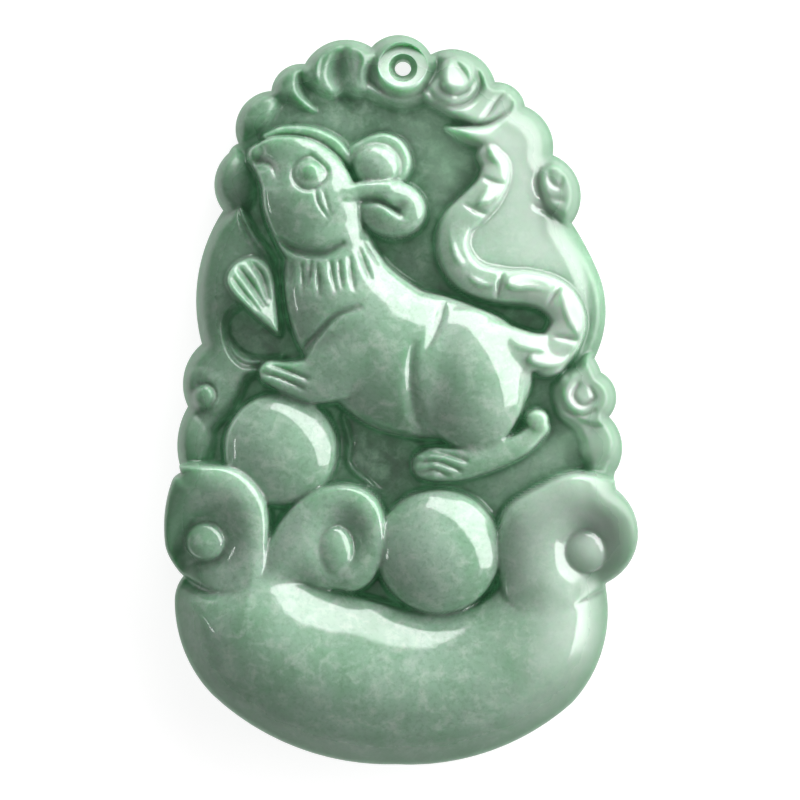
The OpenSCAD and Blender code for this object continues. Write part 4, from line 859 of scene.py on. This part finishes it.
@dataclass
class Stone:
    """The carved stone: its sizes in mm, its relief, its mesh and its drilled hole.

    The masks hollow, crease and thin are given as the reach of the mean that they compare
    with and the height difference that makes them full.
    """

    width: float
    length: float
    thickness: float
    ground: float = 3.1
    rim_height: float = 1.5
    rim_roll: float = 0.9
    back_inset: float = 0.9
    flat_inset: float = 0.4
    bore_d: float = 1.25
    mouth_d: float = 2.15
    ring_d: float = 3.6
    ring_tilt: float = 30
    ring_height: float = 5.1
    collar_over: float = 0.2
    collar_fall: float = 2.6
    bore_height: float = 3.2
    hole: tuple[float, float] = (0.4, 45.4)
    spine: tuple[float, float] = (-20, 17)
    width_share: float = 64.5
    columns: int = 236
    rows: int = 364
    side_rings: int = 5
    pitch: float = 0.06
    margin: float = 0.5
    border_wall: float = 0.7
    form_wall: float = 0.3
    hollow: tuple[float, float] = (1.1, 1.6)
    crease: tuple[float, float] = (0.28, 0.35)
    thin: tuple[float, float] = (1.4, 1.5)
    rim_band: float = 2.8

    def __post_init__(self) -> None:
        """Work out the scale, the outline's arcs and where the hole is."""
        self.scale = Scale(self.length / 100, self.thickness / 100)
        self.stretch = self.width / (self.width_share * self.scale.plan)
        ends = [Vector(row[:2]) * self.scale.plan for row in OUTLINE]
        self.arcs = [arc_between(start, end, row[2] * self.scale.plan)
                     for start, end, row in zip(ends, ends[1:] + ends[:1], OUTLINE)]
        self.hole_xy = np.array(self.hole) * self.scale.plan * (self.stretch, 1)

    def layers(self) -> tuple[Layer, ...]:
        """The groups of carving work, from the border in to the rat."""
        x, y = np.array(self.hole) * self.scale.plan
        collar = Collar(x, y, self.ring_d / 2, self.ring_height, self.ring_tilt, self.collar_over,
                        self.collar_fall)
        border = (*BORDER_WORK, collar, RimRoll(self.rim_roll, self.rim_height))
        forms = {"waves": WAVES_WORK, "balls": BALLS_WORK, "tail": TAIL_WORK, "far leg": FAR_LEG_WORK,
                 "rat": RAT_WORK}
        return (Layer("border", self.ground, self.border_wall, border),
                *(Layer(name, 0, self.form_wall, works) for name, works in forms.items()))

    def carve(self) -> Relief:
        """Carve the whole face on an even grid.

        Each group starts from its own level, and the highest group shows. The result is
        polished by a mean over the next places.

        Returns:
            The relief, with its heights in z.
        """
        outline = np.vstack([arc.points(np.arange(ARC_SPANS) / ARC_SPANS) for arc in self.arcs])
        relief = Relief(self.width / 2 + self.margin, self.length / 2 + self.margin, self.pitch, outline,
                        self.scale)
        face = relief.z
        for layer in self.layers():
            relief.z, relief.wall = np.full(face.shape, float(layer.start)), layer.wall
            for work in layer.works:
                work.carve(relief)
            face = np.maximum(face, relief.z)
            LOG.info("carved the %s, %d pieces of work", layer.name, len(layer.works))
        relief.z = box_mean(np.clip(face, self.rim_height * LEAST_FACE, self.thickness), 1)
        return relief

    def side(self, first: int, last: int, cells: int) -> list[tuple[int, int, Arc]]:
        """Arcs from one corner to another, each with the whole cells of the side that it takes."""
        count = (last - first + len(self.arcs)) % len(self.arcs)
        arcs = [self.arcs[(first + k) % len(self.arcs)] for k in range(count)]
        ends = np.concatenate([[0], np.cumsum([arc.length for arc in arcs])])
        stops = np.round(cells * ends / ends[-1]).astype(int)
        return list(zip(stops[:-1], stops[1:], arcs))

    def plan_points(self) -> tuple[Array, Array, Array]:
        """Places of the face grid, rings of cells from the outline in to the spine.

        Ring m of cell corners runs round the four sides of the outline; its places are drawn
        toward the spine by t = s (3 + s) / 4, with s = m over half the columns.

        Returns:
            The places, (rows + 1, columns + 1, 2), the ring number of each, and the place on
            the spine that each faces.
        """
        columns, rows = self.columns, self.rows
        i, j = np.meshgrid(np.arange(columns + 1), np.arange(rows + 1))
        ring = np.minimum(np.minimum(i, columns - i), np.minimum(j, rows - j))
        tall = np.maximum(rows - 2 * ring, 1)
        wide = np.maximum(columns - 2 * ring, 1)
        up = (j - ring) / tall
        sides = [
            (ring == i, self.side(LOW_LEFT, TOP_LEFT, rows), rows * (j - ring) / tall),
            (ring == columns - i, self.side(TOP_RIGHT, LOW_RIGHT, rows), rows * (1 - up)),
            (ring == j, self.side(LOW_RIGHT, LOW_LEFT, columns), columns * (1 - (i - ring) / wide)),
            (ring == rows - j, self.side(TOP_LEFT, TOP_RIGHT, columns), columns * (i - ring) / wide),
        ]
        rim = np.zeros(i.shape + (2,))
        taken = np.zeros(i.shape, bool)
        for chosen, arcs, along in sides:
            for start, stop, arc in arcs:
                here = chosen & ~taken & (along >= start) & (along <= stop)
                rim[here] = arc.points((along[here] - start) / max(stop - start, 1))
            taken |= chosen
        share = np.where((ring == i) | (ring == columns - i), up, (ring != j) * 1.0)
        low, high = np.array(self.spine) * self.scale.plan
        spine = np.stack([np.zeros(share.shape), low + (high - low) * share], axis=-1)
        s = (ring / (columns / 2))[..., None]
        t = s * (0.75 + 0.25 * s)
        return rim * (1 - t) + spine * t, ring, spine

    def face_triangles(self) -> Array:
        """Two triangles for each cell, the diagonals turned the same way as the rings run."""
        columns, rows = self.columns, self.rows
        i, j = np.meshgrid(np.arange(columns), np.arange(rows))
        a = (j * (columns + 1) + i).ravel()
        b, c, d = a + 1, a + columns + 2, a + columns + 1
        rising = ((i < columns / 2) == (j < rows / 2)).ravel()[:, None]
        first = np.where(rising, np.stack([a, b, c], 1), np.stack([a, b, d], 1))
        second = np.where(rising, np.stack([a, c, d], 1), np.stack([b, c, d], 1))
        return np.vstack([first, second])

    def build(self, relief: Relief) -> bpy.types.Object:
        """Make the closed mesh of the stone from the relief.

        The side goes down from the rim by quarter-ellipse steps, inset = back_inset (1 - cos)
        and height = rim_height (1 - sin), and the back is flat.

        Args:
            relief: The carved face.

        Returns:
            The stone's object, its mesh in metres.
        """
        plan, ring, spine = self.plan_points()
        height = np.where(ring == 0, self.rim_height, relief.read(relief.z, plan[..., 0], plan[..., 1]))
        face = np.concatenate([plan, height[..., None]], axis=-1).reshape(-1, 3)
        number = np.arange(len(face)).reshape(ring.shape)
        loop = np.concatenate([number[0, :-1], number[:-1, -1], number[-1, :0:-1], number[:0:-1, 0]])
        edge = face[loop]
        inward = spine.reshape(-1, 2)[loop] - edge[:, :2]
        inward /= np.linalg.norm(inward, axis=1, keepdims=True)
        steps = [(self.back_inset * (1 - math.cos(a)), self.rim_height * (1 - math.sin(a)))
                 for a in np.linspace(0, math.pi / 2, self.side_rings + 1)[1:]]
        steps.append((self.back_inset + self.flat_inset, 0.0))
        rings = [np.column_stack([edge[:, :2] + inward * inset, np.full(len(loop), level)])
                 for inset, level in steps]
        points = np.vstack([face, *rings, [[0, 0, 0]]])
        points[:, 0] *= self.stretch
        tops = [loop] + [len(face) + k * len(loop) + np.arange(len(loop)) for k in range(len(rings))]
        faces = [self.face_triangles()]
        for upper, lower in zip(tops[:-1], tops[1:]):
            a, b, c, d = upper, np.roll(upper, -1), np.roll(lower, -1), lower
            faces += [np.stack([a, d, c], 1), np.stack([a, c, b], 1)]
        last = np.full(len(loop), len(points) - 1)
        faces.append(np.stack([tops[-1], last, np.roll(tops[-1], -1)], 1))
        return make_object("jade_pendant", points * MM, np.vstack(faces).tolist())

    def drill(self, stone: bpy.types.Object) -> None:
        """Cut the bore, its funnel mouth and the flat tilted ring face out of the stone.

        The bore starts 1 mm below the stone, and the funnel runs on to twice its depth.
        """
        x, y = self.hole_xy
        bore, mouth, ring = self.bore_d / 2, self.mouth_d / 2, self.ring_d / 2
        straight = self.bore_height + 1
        funnel = (bore + (mouth - bore) * 2, straight + (self.ring_height - self.bore_height) * 2)
        cutters = [
            lathe("ring_cutter", (x, y, self.ring_height), ((ring, 0), (ring, self.thickness)),
                  -self.ring_tilt),
            lathe("bore_cutter", (x, y, -1), ((bore, 0), (bore, straight), funnel), 0),
        ]
        for cutter in cutters:
            cut = stone.modifiers.new(cutter.name, "BOOLEAN")
            cut.operation = "DIFFERENCE"
            cut.solver = "EXACT"
            cut.object = cutter
        graph = bpy.context.evaluated_depsgraph_get()
        drilled = bpy.data.meshes.new_from_object(stone.evaluated_get(graph))
        stone.modifiers.clear()
        old, stone.data = stone.data, drilled
        drilled.name = stone.name
        for mesh in (old, *(cutter.data for cutter in cutters)):
            bpy.data.meshes.remove(mesh)

    def face_kinds(self, centre: Array, normal: Array) -> Array:
        """Which faces the drill left, known by their place round the hole's axis.

        Args:
            centre: Middles of the faces, mm.
            normal: Their normals.

        Returns:
            1 for the bore, 2 for the funnel, 3 for the ring, else 0.
        """
        x, y = self.hole_xy
        radius = np.hypot(centre[:, 0] - x, centre[:, 1] - y)
        tilt = math.radians(self.ring_tilt)
        ring_level = self.ring_height + (centre[:, 1] - y) * -math.tan(tilt)
        kind = np.zeros(len(centre), int)
        facing = normal @ np.array([0, math.sin(tilt), math.cos(tilt)])
        off_plane, flat, past_mouth, upright = 0.02, 0.9999, 0.35, 0.01
        ring, bore = self.ring_d / 2 * 1.02, self.bore_d / 2 * 1.001
        kind[(radius < ring) & (facing > flat) & (np.abs(centre[:, 2] - ring_level) < off_plane)] = 3
        on_funnel = (radius < self.mouth_d / 2 + past_mouth) & (centre[:, 2] > self.bore_height)
        kind[on_funnel & (kind == 0)] = 2
        kind[(radius < bore) & (np.abs(normal[:, 2]) < upright)] = 1
        return kind

    def finish(self, stone: bpy.types.Object, relief: Relief) -> None:
        """Smooth shading with crisp edges at the drilled faces, and the carving's masks.

        Masks "hollow" and "crease" are how far a place lies under the mean height round it,
        "thin" is how near to the ground that mean is, "rim" is nearness to the outline.

        Args:
            stone: The stone's object.
            relief: The carved face.
        """
        mesh = stone.data
        mesh.shade_smooth()
        centre, normal = read_all(mesh.polygons, "center", 3), read_all(mesh.polygons, "normal", 3)
        kind = self.face_kinds(centre / MM, normal)
        mesh.polygons.foreach_set("material_index", np.where((kind == 1) | (kind == 2), 1, 0))
        loops = read_all(mesh.loops, "edge_index", 1, int)
        owner = np.repeat(kind, read_all(mesh.polygons, "loop_total", 1, int))
        low, high = np.full(len(mesh.edges), kind.max()), np.zeros(len(mesh.edges), int)
        np.minimum.at(low, loops, owner)
        np.maximum.at(high, loops, owner)
        mark = mesh.attributes.get("sharp_edge") or mesh.attributes.new("sharp_edge", "BOOLEAN", "EDGE")
        mark.data.foreach_set("value", low != high)
        place = read_all(mesh.vertices, "co", 3) / MM
        px, py = place[:, 0] / self.stretch, place[:, 1]
        on_face = place[:, 2] > self.rim_height * 0.9
        wide, fine, about = (relief.spread(relief.z, reach)
                             for reach, _ in (self.hollow, self.crease, self.thin))
        hollow = relief.read(wide - relief.z, px, py) / self.hollow[1]
        crease = relief.read(fine - relief.z, px, py) / self.crease[1]
        thick = relief.read(about - self.ground, px, py) / self.thin[1]
        gap = relief.read(relief.gap, px, py) / self.rim_band
        # These masks place painted shade (hollow, crease, rim) and painted glow (hollow, thin) in the
        # material
        masks = {
            "hollow": np.clip(hollow, -1, 1) * on_face,
            "crease": np.clip(crease, -1, 1) * on_face,
            "thin": (1 - np.clip(thick, 0, 1)) * on_face,
            "rim": 1 - np.clip(gap, 0, 1),
        }
        for name, values in masks.items():
            layer = mesh.attributes.new(name, "FLOAT", "POINT")
            layer.data.foreach_set("value", values.astype(np.float32))
        mesh.update()


def read_all(items: bpy.types.bpy_prop_collection, name: str, size: int, kind: type = float) -> Array:
    """One value of every item of a mesh, a row for each where the value is a vector."""
    values = np.empty(len(items) * size, kind)
    items.foreach_get(name, values)
    return values.reshape(-1, size) if size > 1 else values


def make_object(name: str, points: Array, faces: list[list[int]]) -> bpy.types.Object:
    """A new object in the scene from points in metres and lists of corners."""
    mesh = bpy.data.meshes.new(name)
    mesh.from_pydata(points, [], faces)
    mesh.validate()
    thing = bpy.data.objects.new(name, mesh)
    bpy.context.scene.collection.objects.link(thing)
    return thing


def lathe(name: str, foot: tuple[float, float, float], profile: tuple[tuple[float, float], ...],
          tilt: float, sides: int = 96) -> bpy.types.Object:
    """A closed round cutter from a profile turned about its axis.

    Args:
        name: Name of the object.
        foot: Place of the profile's start on the axis, mm.
        profile: (radius, height over the foot) rows, mm.
        tilt: Turn of the axis about X, degrees.
        sides: Faces round the axis.

    Returns:
        The cutter, its points foot + (r cos a, r sin a, h) turned about X.
    """
    angle = np.arange(sides) / sides * 2 * math.pi
    x, y, z = np.vstack([np.stack([r * np.cos(angle), r * np.sin(angle), np.full(sides, h)], 1)
                         for r, h in profile]).T
    c, s = math.cos(math.radians(tilt)), math.sin(math.radians(tilt))
    points = np.stack([x, y * c - z * s, y * s + z * c], 1) + np.array(foot)
    k = np.arange(sides)
    n = (k + 1) % sides
    top = sides * (len(profile) - 1)
    walls = [np.stack([k + low, n + low, n + low + sides, k + low + sides], 1)
             for low in range(0, top, sides)]
    return make_object(name, points * MM, [*np.vstack(walls).tolist(), k[::-1].tolist(), (k + top).tolist()])


class NodeMaker:
    """Short calls for the nodes of one tree."""

    def __init__(self, tree: bpy.types.NodeTree) -> None:
        """Keep the tree."""
        self.tree = tree

    def feed(self, value: object, socket: bpy.types.NodeSocket) -> None:
        """Link a socket to an input, or set the input's own value."""
        if isinstance(value, bpy.types.NodeSocket):
            self.tree.links.new(value, socket)
        else:
            socket.default_value = value

    def node(self, kind: str, inputs: dict | None = None, **settings: object) -> bpy.types.Node:
        """A new node with some of its inputs, by name or number, and some of its settings."""
        node = self.tree.nodes.new(kind)
        for name, value in settings.items():
            setattr(node, name, value)
        for name, value in (inputs or {}).items():
            self.feed(value, node.inputs[name])
        return node

    def group(self, tree: bpy.types.NodeTree, inputs: dict) -> Sockets:
        """The outputs of a group placed in the tree with its own inputs."""
        return self.node("ShaderNodeGroup", inputs, node_tree=tree).outputs

    def math(self, operation: str, a: object, b: object, clamp: bool = False) -> bpy.types.NodeSocket:
        """A sum of two sockets or numbers."""
        return self.node("ShaderNodeMath", {0: a, 1: b}, operation=operation, use_clamp=clamp).outputs[0]

    def blend(self, share: object, a: object, b: object) -> bpy.types.NodeSocket:
        """Colour a turned into colour b by a share."""
        inputs = {0: share, 6: a, 7: b}
        return self.node("ShaderNodeMix", inputs, data_type="RGBA", clamp_factor=True).outputs[2]


def new_group(name: str, inputs: dict[str, str],
              outputs: dict[str, str]) -> tuple[NodeMaker, Sockets, Sockets]:
    """A new shader node group.

    Args:
        name: Name of the group.
        inputs: Kinds of socket by name, such as Float.
        outputs: Kinds of socket by name.

    Returns:
        The group's node maker, its given sockets and its result sockets.
    """
    tree = bpy.data.node_groups.new(name, "ShaderNodeTree")
    for way, sockets in (("INPUT", inputs), ("OUTPUT", outputs)):
        for label, kind in sockets.items():
            tree.interface.new_socket(label, in_out=way, socket_type="NodeSocket" + kind)
    make = NodeMaker(tree)
    return make, make.node("NodeGroupInput").outputs, make.node("NodeGroupOutput").inputs


@cache
def cloud_group() -> bpy.types.NodeTree:
    """Soft clouds of a given size: noise, pushed away from its middle by the sharpness."""
    make, given, result = new_group(
        "jade_clouds", {"Place": "Vector", "Size": "Float", "Detail": "Float", "Sharpness": "Float"},
        {"Value": "Float"})
    noise = make.node("ShaderNodeTexNoise", {
        "Vector": given["Place"], "Scale": make.math("DIVIDE", 1.0, given["Size"]),
        "Detail": given["Detail"], "Roughness": 0.6, "Distortion": 0.35}, noise_dimensions="3D")
    pushed = make.math("MULTIPLY", make.math("SUBTRACT", noise.outputs["Fac"], 0.5), given["Sharpness"])
    make.feed(make.math("ADD", pushed, 0.5, clamp=True), result["Value"])
    return make.tree


@cache
def pale_sheen_group() -> bpy.types.NodeTree:
    """Pale tone toward the upper right, with a cloudy front: partly the stone's own paler side, partly a
    painted sheen of the light from the upper right.
    """
    lowest, lean, swing = -0.002, 0.35, 0.004
    make, given, result = new_group(
        "jade_pale_sheen", {"Place": "Vector", "Cloud": "Float", "Start": "Float", "End": "Float"},
        {"PaleAndSheen": "Float"})
    split = make.node("ShaderNodeSeparateXYZ", {"Vector": given["Place"]}).outputs
    raised = make.math("MULTIPLY", make.math("MAXIMUM", split["Y"], lowest), lean)
    cloud = make.math("MULTIPLY", make.math("SUBTRACT", given["Cloud"], 0.5), swing)
    ramp = make.node("ShaderNodeMapRange", {
        "Value": make.math("ADD", make.math("ADD", split["X"], raised), cloud),
        "From Min": given["Start"], "From Max": given["End"]}, interpolation_type="SMOOTHSTEP")
    make.feed(ramp.outputs["Result"], result["PaleAndSheen"])
    return make.tree


@cache
def tint_shade_glow_group() -> bpy.types.NodeTree:
    """Jade's colour, with painted light: grey clouds in green, pale flecks and dark grain, a pale side that
    is partly a painted sheen, and painted shade in hollows, creases and near the outline.

    Its glow is painted light, an emission that stands for the light that comes through the stone: deep green
    in hollows, green and spotted where the stone is thin.
    """
    masks = ("Cloud", "Fleck", "Grain", "PaleAndSheen", "Hollow", "Crease", "Thin", "Rim")
    greens = ("Deep", "Green", "Grey", "Pale")
    make, given, result = new_group(
        "jade_tint_shade_glow", dict.fromkeys(masks, "Float") | dict.fromkeys(greens, "Color"),
        {"Color": "Color", "Glow": "Color"})
    fleck_start, fleck_share = 0.45, 1.1
    grain_end, grain_share = 0.55, 0.45
    # The pale side is partly the stone's own colour, partly a painted sheen; it shows less in hollows
    pale_sheen_share, pale_sheen_loss = 0.8, 0.95
    # Shares of painted shade in hollows, in creases and near the outline
    hollow_shade_share, crease_shade_share, rim_shade_share = 0.33, 0.34, 0.85
    # Patches and spots of the painted glow
    glow_patch_least, glow_patch_share = 0.3, 1.6
    glow_spot_start, glow_spot_share = 0.3, 0.55
    deep, pale = given["Deep"], given["Pale"]
    fleck = make.math("SUBTRACT", given["Fleck"], fleck_start, clamp=True)
    fleck = make.math("MULTIPLY", fleck, fleck_share)
    grain = make.math("SUBTRACT", grain_end, given["Grain"], clamp=True)
    grain = make.math("MULTIPLY", grain, grain_share)
    raised = make.math("SUBTRACT", 1.0, make.math("MULTIPLY", given["Hollow"], pale_sheen_loss, clamp=True))
    pale_and_sheen = make.math("MULTIPLY", make.math("MULTIPLY", given["PaleAndSheen"], raised), pale_sheen_share)
    # Painted shade: hollows, fine creases and the outline darkened toward deep green
    shade = make.math("MULTIPLY", given["Hollow"], hollow_shade_share, clamp=True)
    crease = make.math("MULTIPLY", given["Crease"], crease_shade_share, clamp=True)
    rim = make.math("MULTIPLY", given["Rim"], rim_shade_share)
    body = make.blend(given["Cloud"], given["Green"], given["Grey"])
    # Flecks and grain are the stone's own colour; the pale side is partly a painted sheen; shade, crease and
    # rim are painted shade
    for share, colour in ((fleck, pale), (grain, deep), (pale_and_sheen, pale), (shade, deep), (crease, deep),
                          (rim, deep)):
        body = make.blend(share, body, colour)
    # Painted glow: emission for light coming through the stone, deep green in hollows, green and spotted
    # where the stone is thin
    patchy_glow = make.math("ADD", make.math("MULTIPLY", given["Fleck"], glow_patch_share), glow_patch_least)
    glow = make.blend(make.math("MULTIPLY", shade, patchy_glow, clamp=True), (0, 0, 0, 1), deep)
    glow_spots = make.math("SUBTRACT", given["Fleck"], glow_spot_start, clamp=True)
    glow_spots = make.math("MULTIPLY", glow_spots, glow_spot_share)
    thin = make.math("MULTIPLY", make.math("ADD", pale_and_sheen, glow_spots), given["Thin"])
    make.feed(make.blend(thin, glow, given["Green"]), result["Glow"])
    make.feed(body, result["Color"])
    return make.tree


class Surface(Enum):
    """How far a face of the stone was worked."""

    POLISHED = "polished"
    DRILLED = "drilled"


@dataclass(frozen=True)
class JadeFinish:
    """Jade as the stone shows it: its greens, its clouds, its gloss and its depth.

    Clouds, flecks and grain are given as size in metres, detail and sharpness. The stone turns pale between
    two places, in metres; that pale side is partly the stone's own colour and partly a painted sheen of the
    light from the upper right.
    """

    surface: Surface
    # Deep green of the dark grain, also the colour of the painted shade and of the painted glow in hollows
    deep: Colour = (0.035, 0.125, 0.055)
    green: Colour = (0.15, 0.305, 0.185)
    grey: Colour = (0.32, 0.43, 0.355)
    pale: Colour = (0.43, 0.52, 0.45)
    clouds: tuple[float, float, float] = (0.006, 5.0, 1.9)
    flecks: tuple[float, float, float] = (0.0011, 4.0, 2.4)
    grain: tuple[float, float, float] = (0.00035, 2.0, 2.0)
    # Start and end of the pale side: partly own colour, partly painted sheen
    pale_sheen_side: tuple[float, float] = (0.003, 0.015)
    roughness: float = 0.075
    wear: tuple[float, float] = (0.8, 1.5)
    dull_rim: float = 0.42
    gloss: float = 1.66
    bump: float = 0.06
    bump_depth: float = 0.0001
    # Strength of the painted glow, an emission for light that comes through the stone
    glow: float = 1.0
    # Share of plain green in the painted glow, for light that shines up through the bore
    through: float = 0.0
    scatter: float = 0.8
    scatter_reach: Colour = (0.35, 1.0, 0.5)
    scatter_scale: float = 0.002

    def material(self) -> bpy.types.Material:
        """Build the material: clouds and flecks choose among the greens; shade is painted deeper in hollows,
        creases and near the outline, and a glow is painted in.
        """
        stuff = bpy.data.materials.new("jade_" + self.surface.value)
        stuff.use_nodes = True
        stuff.node_tree.nodes.clear()
        make = NodeMaker(stuff.node_tree)
        place = make.node("ShaderNodeTexCoord").outputs["Object"]
        cloud, fleck, grain = (
            make.group(cloud_group(), {"Place": place, "Size": size, "Detail": detail,
                                       "Sharpness": sharpness})["Value"]
            for size, detail, sharpness in (self.clouds, self.flecks, self.grain))
        start, end = self.pale_sheen_side
        side = make.group(pale_sheen_group(), {"Place": place, "Cloud": cloud, "Start": start, "End": end})
        # Masks that place the painted shade (hollow, crease, rim) and the painted glow (hollow, thin)
        masks = {name: make.node("ShaderNodeAttribute", attribute_name=name.lower()).outputs["Fac"]
                 for name in ("Hollow", "Crease", "Thin", "Rim")}
        greens = {"Deep": self.deep, "Green": self.green, "Grey": self.grey, "Pale": self.pale}
        # Colour with painted shade and sheen, and the painted glow
        tint = make.group(tint_shade_glow_group(), {
            "Cloud": cloud, "Fleck": fleck, "Grain": grain, "PaleAndSheen": side["PaleAndSheen"], **masks,
            **{name: (*colour, 1) for name, colour in greens.items()}})
        least, most = self.wear
        wear = make.node("ShaderNodeMapRange", {
            "Value": fleck, "To Min": self.roughness * least, "To Max": self.roughness * most})
        dull = make.math("MULTIPLY", masks["Rim"], self.dull_rim)
        bump = make.node("ShaderNodeBump", {
            "Strength": self.bump, "Distance": self.bump_depth, "Height": fleck})
        skin = make.node("ShaderNodeBsdfPrincipled", {
            "Base Color": tint["Color"],
            # Painted glow: emission that stands for light coming through the stone
            "Emission Color": make.blend(self.through, tint["Glow"], (*self.green, 1)),
            "Emission Strength": self.glow,
            "Roughness": make.math("ADD", wear.outputs["Result"], dull),
            "Normal": bump.outputs["Normal"],
            "IOR": self.gloss,
            "Subsurface Weight": self.scatter,
            "Subsurface Radius": self.scatter_reach,
            "Subsurface Scale": self.scatter_scale,
        })
        make.node("ShaderNodeOutputMaterial", {"Surface": skin.outputs["BSDF"]})
        return stuff


def direction(azimuth: float, tilt: float) -> Vector:
    """Unit vector at an azimuth counter-clockwise from +X and a tilt off the vertical, degrees."""
    a, t = math.radians(azimuth), math.radians(tilt)
    return Vector((math.sin(t) * math.cos(a), math.sin(t) * math.sin(a), math.cos(t)))


@dataclass
class Studio:
    """The pale table, the soft lights and the camera, lengths in metres, angles in degrees."""

    camera_height: float = 0.387
    picture_width: float = 0.060
    picture_level: float = 0.002
    sensor: float = 36
    table: float = 1.6
    table_grey: Colour = (0.3, 0.3, 0.3)
    table_roughness: float = 0.8
    table_glow: float = 0.85
    panel_distance: float = 0.40
    panel_azimuth: float = 40
    panel_tilt: float = 65
    panel_size: tuple[float, float] = (1.25, 0.307)
    panel_radiance: float = 6.5
    strip_distance: float = 0.4
    strip_azimuth: float = 180
    strip_tilt: float = 74
    strip_size: tuple[float, float] = (0.16, 0.012)
    strip_watts: float = 0.05
    sky_strength: float = 0.35

    def build(self) -> None:
        """Set the table, the lights, the world and the camera."""
        self.add_table()
        self.add_panel()
        self.add_strip()
        world = bpy.data.worlds.new("studio")
        bpy.context.scene.world = world
        world.use_nodes = True
        sky = world.node_tree.nodes["Background"]
        sky.inputs["Color"].default_value = (1, 1, 1, 1)
        sky.inputs["Strength"].default_value = self.sky_strength
        self.add_camera()
        bpy.context.scene.view_settings.view_transform = "Standard"

    def add_table(self) -> None:
        """A plain pale light table under the stone."""
        half = self.table / 2
        corners = [(-half, -half, 0), (half, -half, 0), (half, half, 0), (-half, half, 0)]
        table = make_object("table", corners, [[0, 1, 2, 3]])
        paint = bpy.data.materials.new("table_white")
        paint.use_nodes = True
        coat = paint.node_tree.nodes["Principled BSDF"]
        coat.inputs["Base Color"].default_value = (*self.table_grey, 1)
        coat.inputs["Roughness"].default_value = self.table_roughness
        coat.inputs["Emission Color"].default_value = (1, 1, 1, 1)
        coat.inputs["Emission Strength"].default_value = self.table_glow
        table.data.materials.append(paint)

    def add_panel(self) -> None:
        """The main light: a flat lit panel that leans over the stone from its upper right."""
        middle = direction(self.panel_azimuth, self.panel_tilt) * self.panel_distance
        across = direction(self.panel_azimuth + 90, 90) * (self.panel_size[0] / 2)
        rise = direction(self.panel_azimuth, self.panel_tilt - 90) * (self.panel_size[1] / 2)
        panel = make_object("lit_panel", [middle - across - rise, middle - across + rise,
                                          middle + across + rise, middle + across - rise], [[0, 1, 2, 3]])
        glow = bpy.data.materials.new("panel_glow")
        glow.use_nodes = True
        glow.node_tree.nodes.clear()
        make = NodeMaker(glow.node_tree)
        light = make.node("ShaderNodeEmission", {"Strength": self.panel_radiance})
        make.node("ShaderNodeOutputMaterial", {"Surface": light.outputs["Emission"]})
        panel.data.materials.append(glow)

    def add_strip(self) -> None:
        """A weak soft strip of light that faces the stone from its left."""
        lamp = bpy.data.lights.new("strip", "AREA")
        lamp.shape = "RECTANGLE"
        lamp.size, lamp.size_y = self.strip_size
        lamp.energy = self.strip_watts
        light = bpy.data.objects.new("strip", lamp)
        way = direction(self.strip_azimuth, self.strip_tilt)
        light.location = way * self.strip_distance
        light.rotation_euler = way.to_track_quat("Z", "Y").to_euler()
        bpy.context.scene.collection.objects.link(light)

    def add_camera(self) -> None:
        """A camera straight above, the picture's top toward +Y."""
        data = bpy.data.cameras.new("camera")
        data.sensor_width = self.sensor
        data.clip_start = 0.01
        data.clip_end = 10
        data.lens = self.sensor * (self.camera_height - self.picture_level) / self.picture_width
        camera = bpy.data.objects.new("camera", data)
        camera.location = (0, 0, self.camera_height)
        bpy.context.scene.collection.objects.link(camera)
        bpy.context.scene.camera = camera


def main() -> None:
    """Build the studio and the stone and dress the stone."""
    logging.basicConfig(level=logging.INFO, format="%(name)s: %(message)s")
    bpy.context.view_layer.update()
    low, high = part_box("pendant")
    width, length, thickness = ((high[k] - low[k]) / MM for k in range(3))
    Studio().build()
    stone = Stone(width, length, thickness)
    relief = stone.carve()
    pendant = stone.build(relief)
    stone.drill(pendant)
    stone.finish(pendant, relief)
    # The drilled faces get a painted green glow for light that shines up the bore
    finishes = (JadeFinish(Surface.POLISHED),
                JadeFinish(Surface.DRILLED, roughness=0.25, green=(0.07, 0.24, 0.10), glow=0.3, through=0.9))
    for finish in finishes:
        pendant.data.materials.append(finish.material())
    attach(pendant, "root")
    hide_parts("pendant")
    LOG.info("%s: %d faces", pendant.name, len(pendant.data.polygons))


if __name__ == "__main__":
    main()
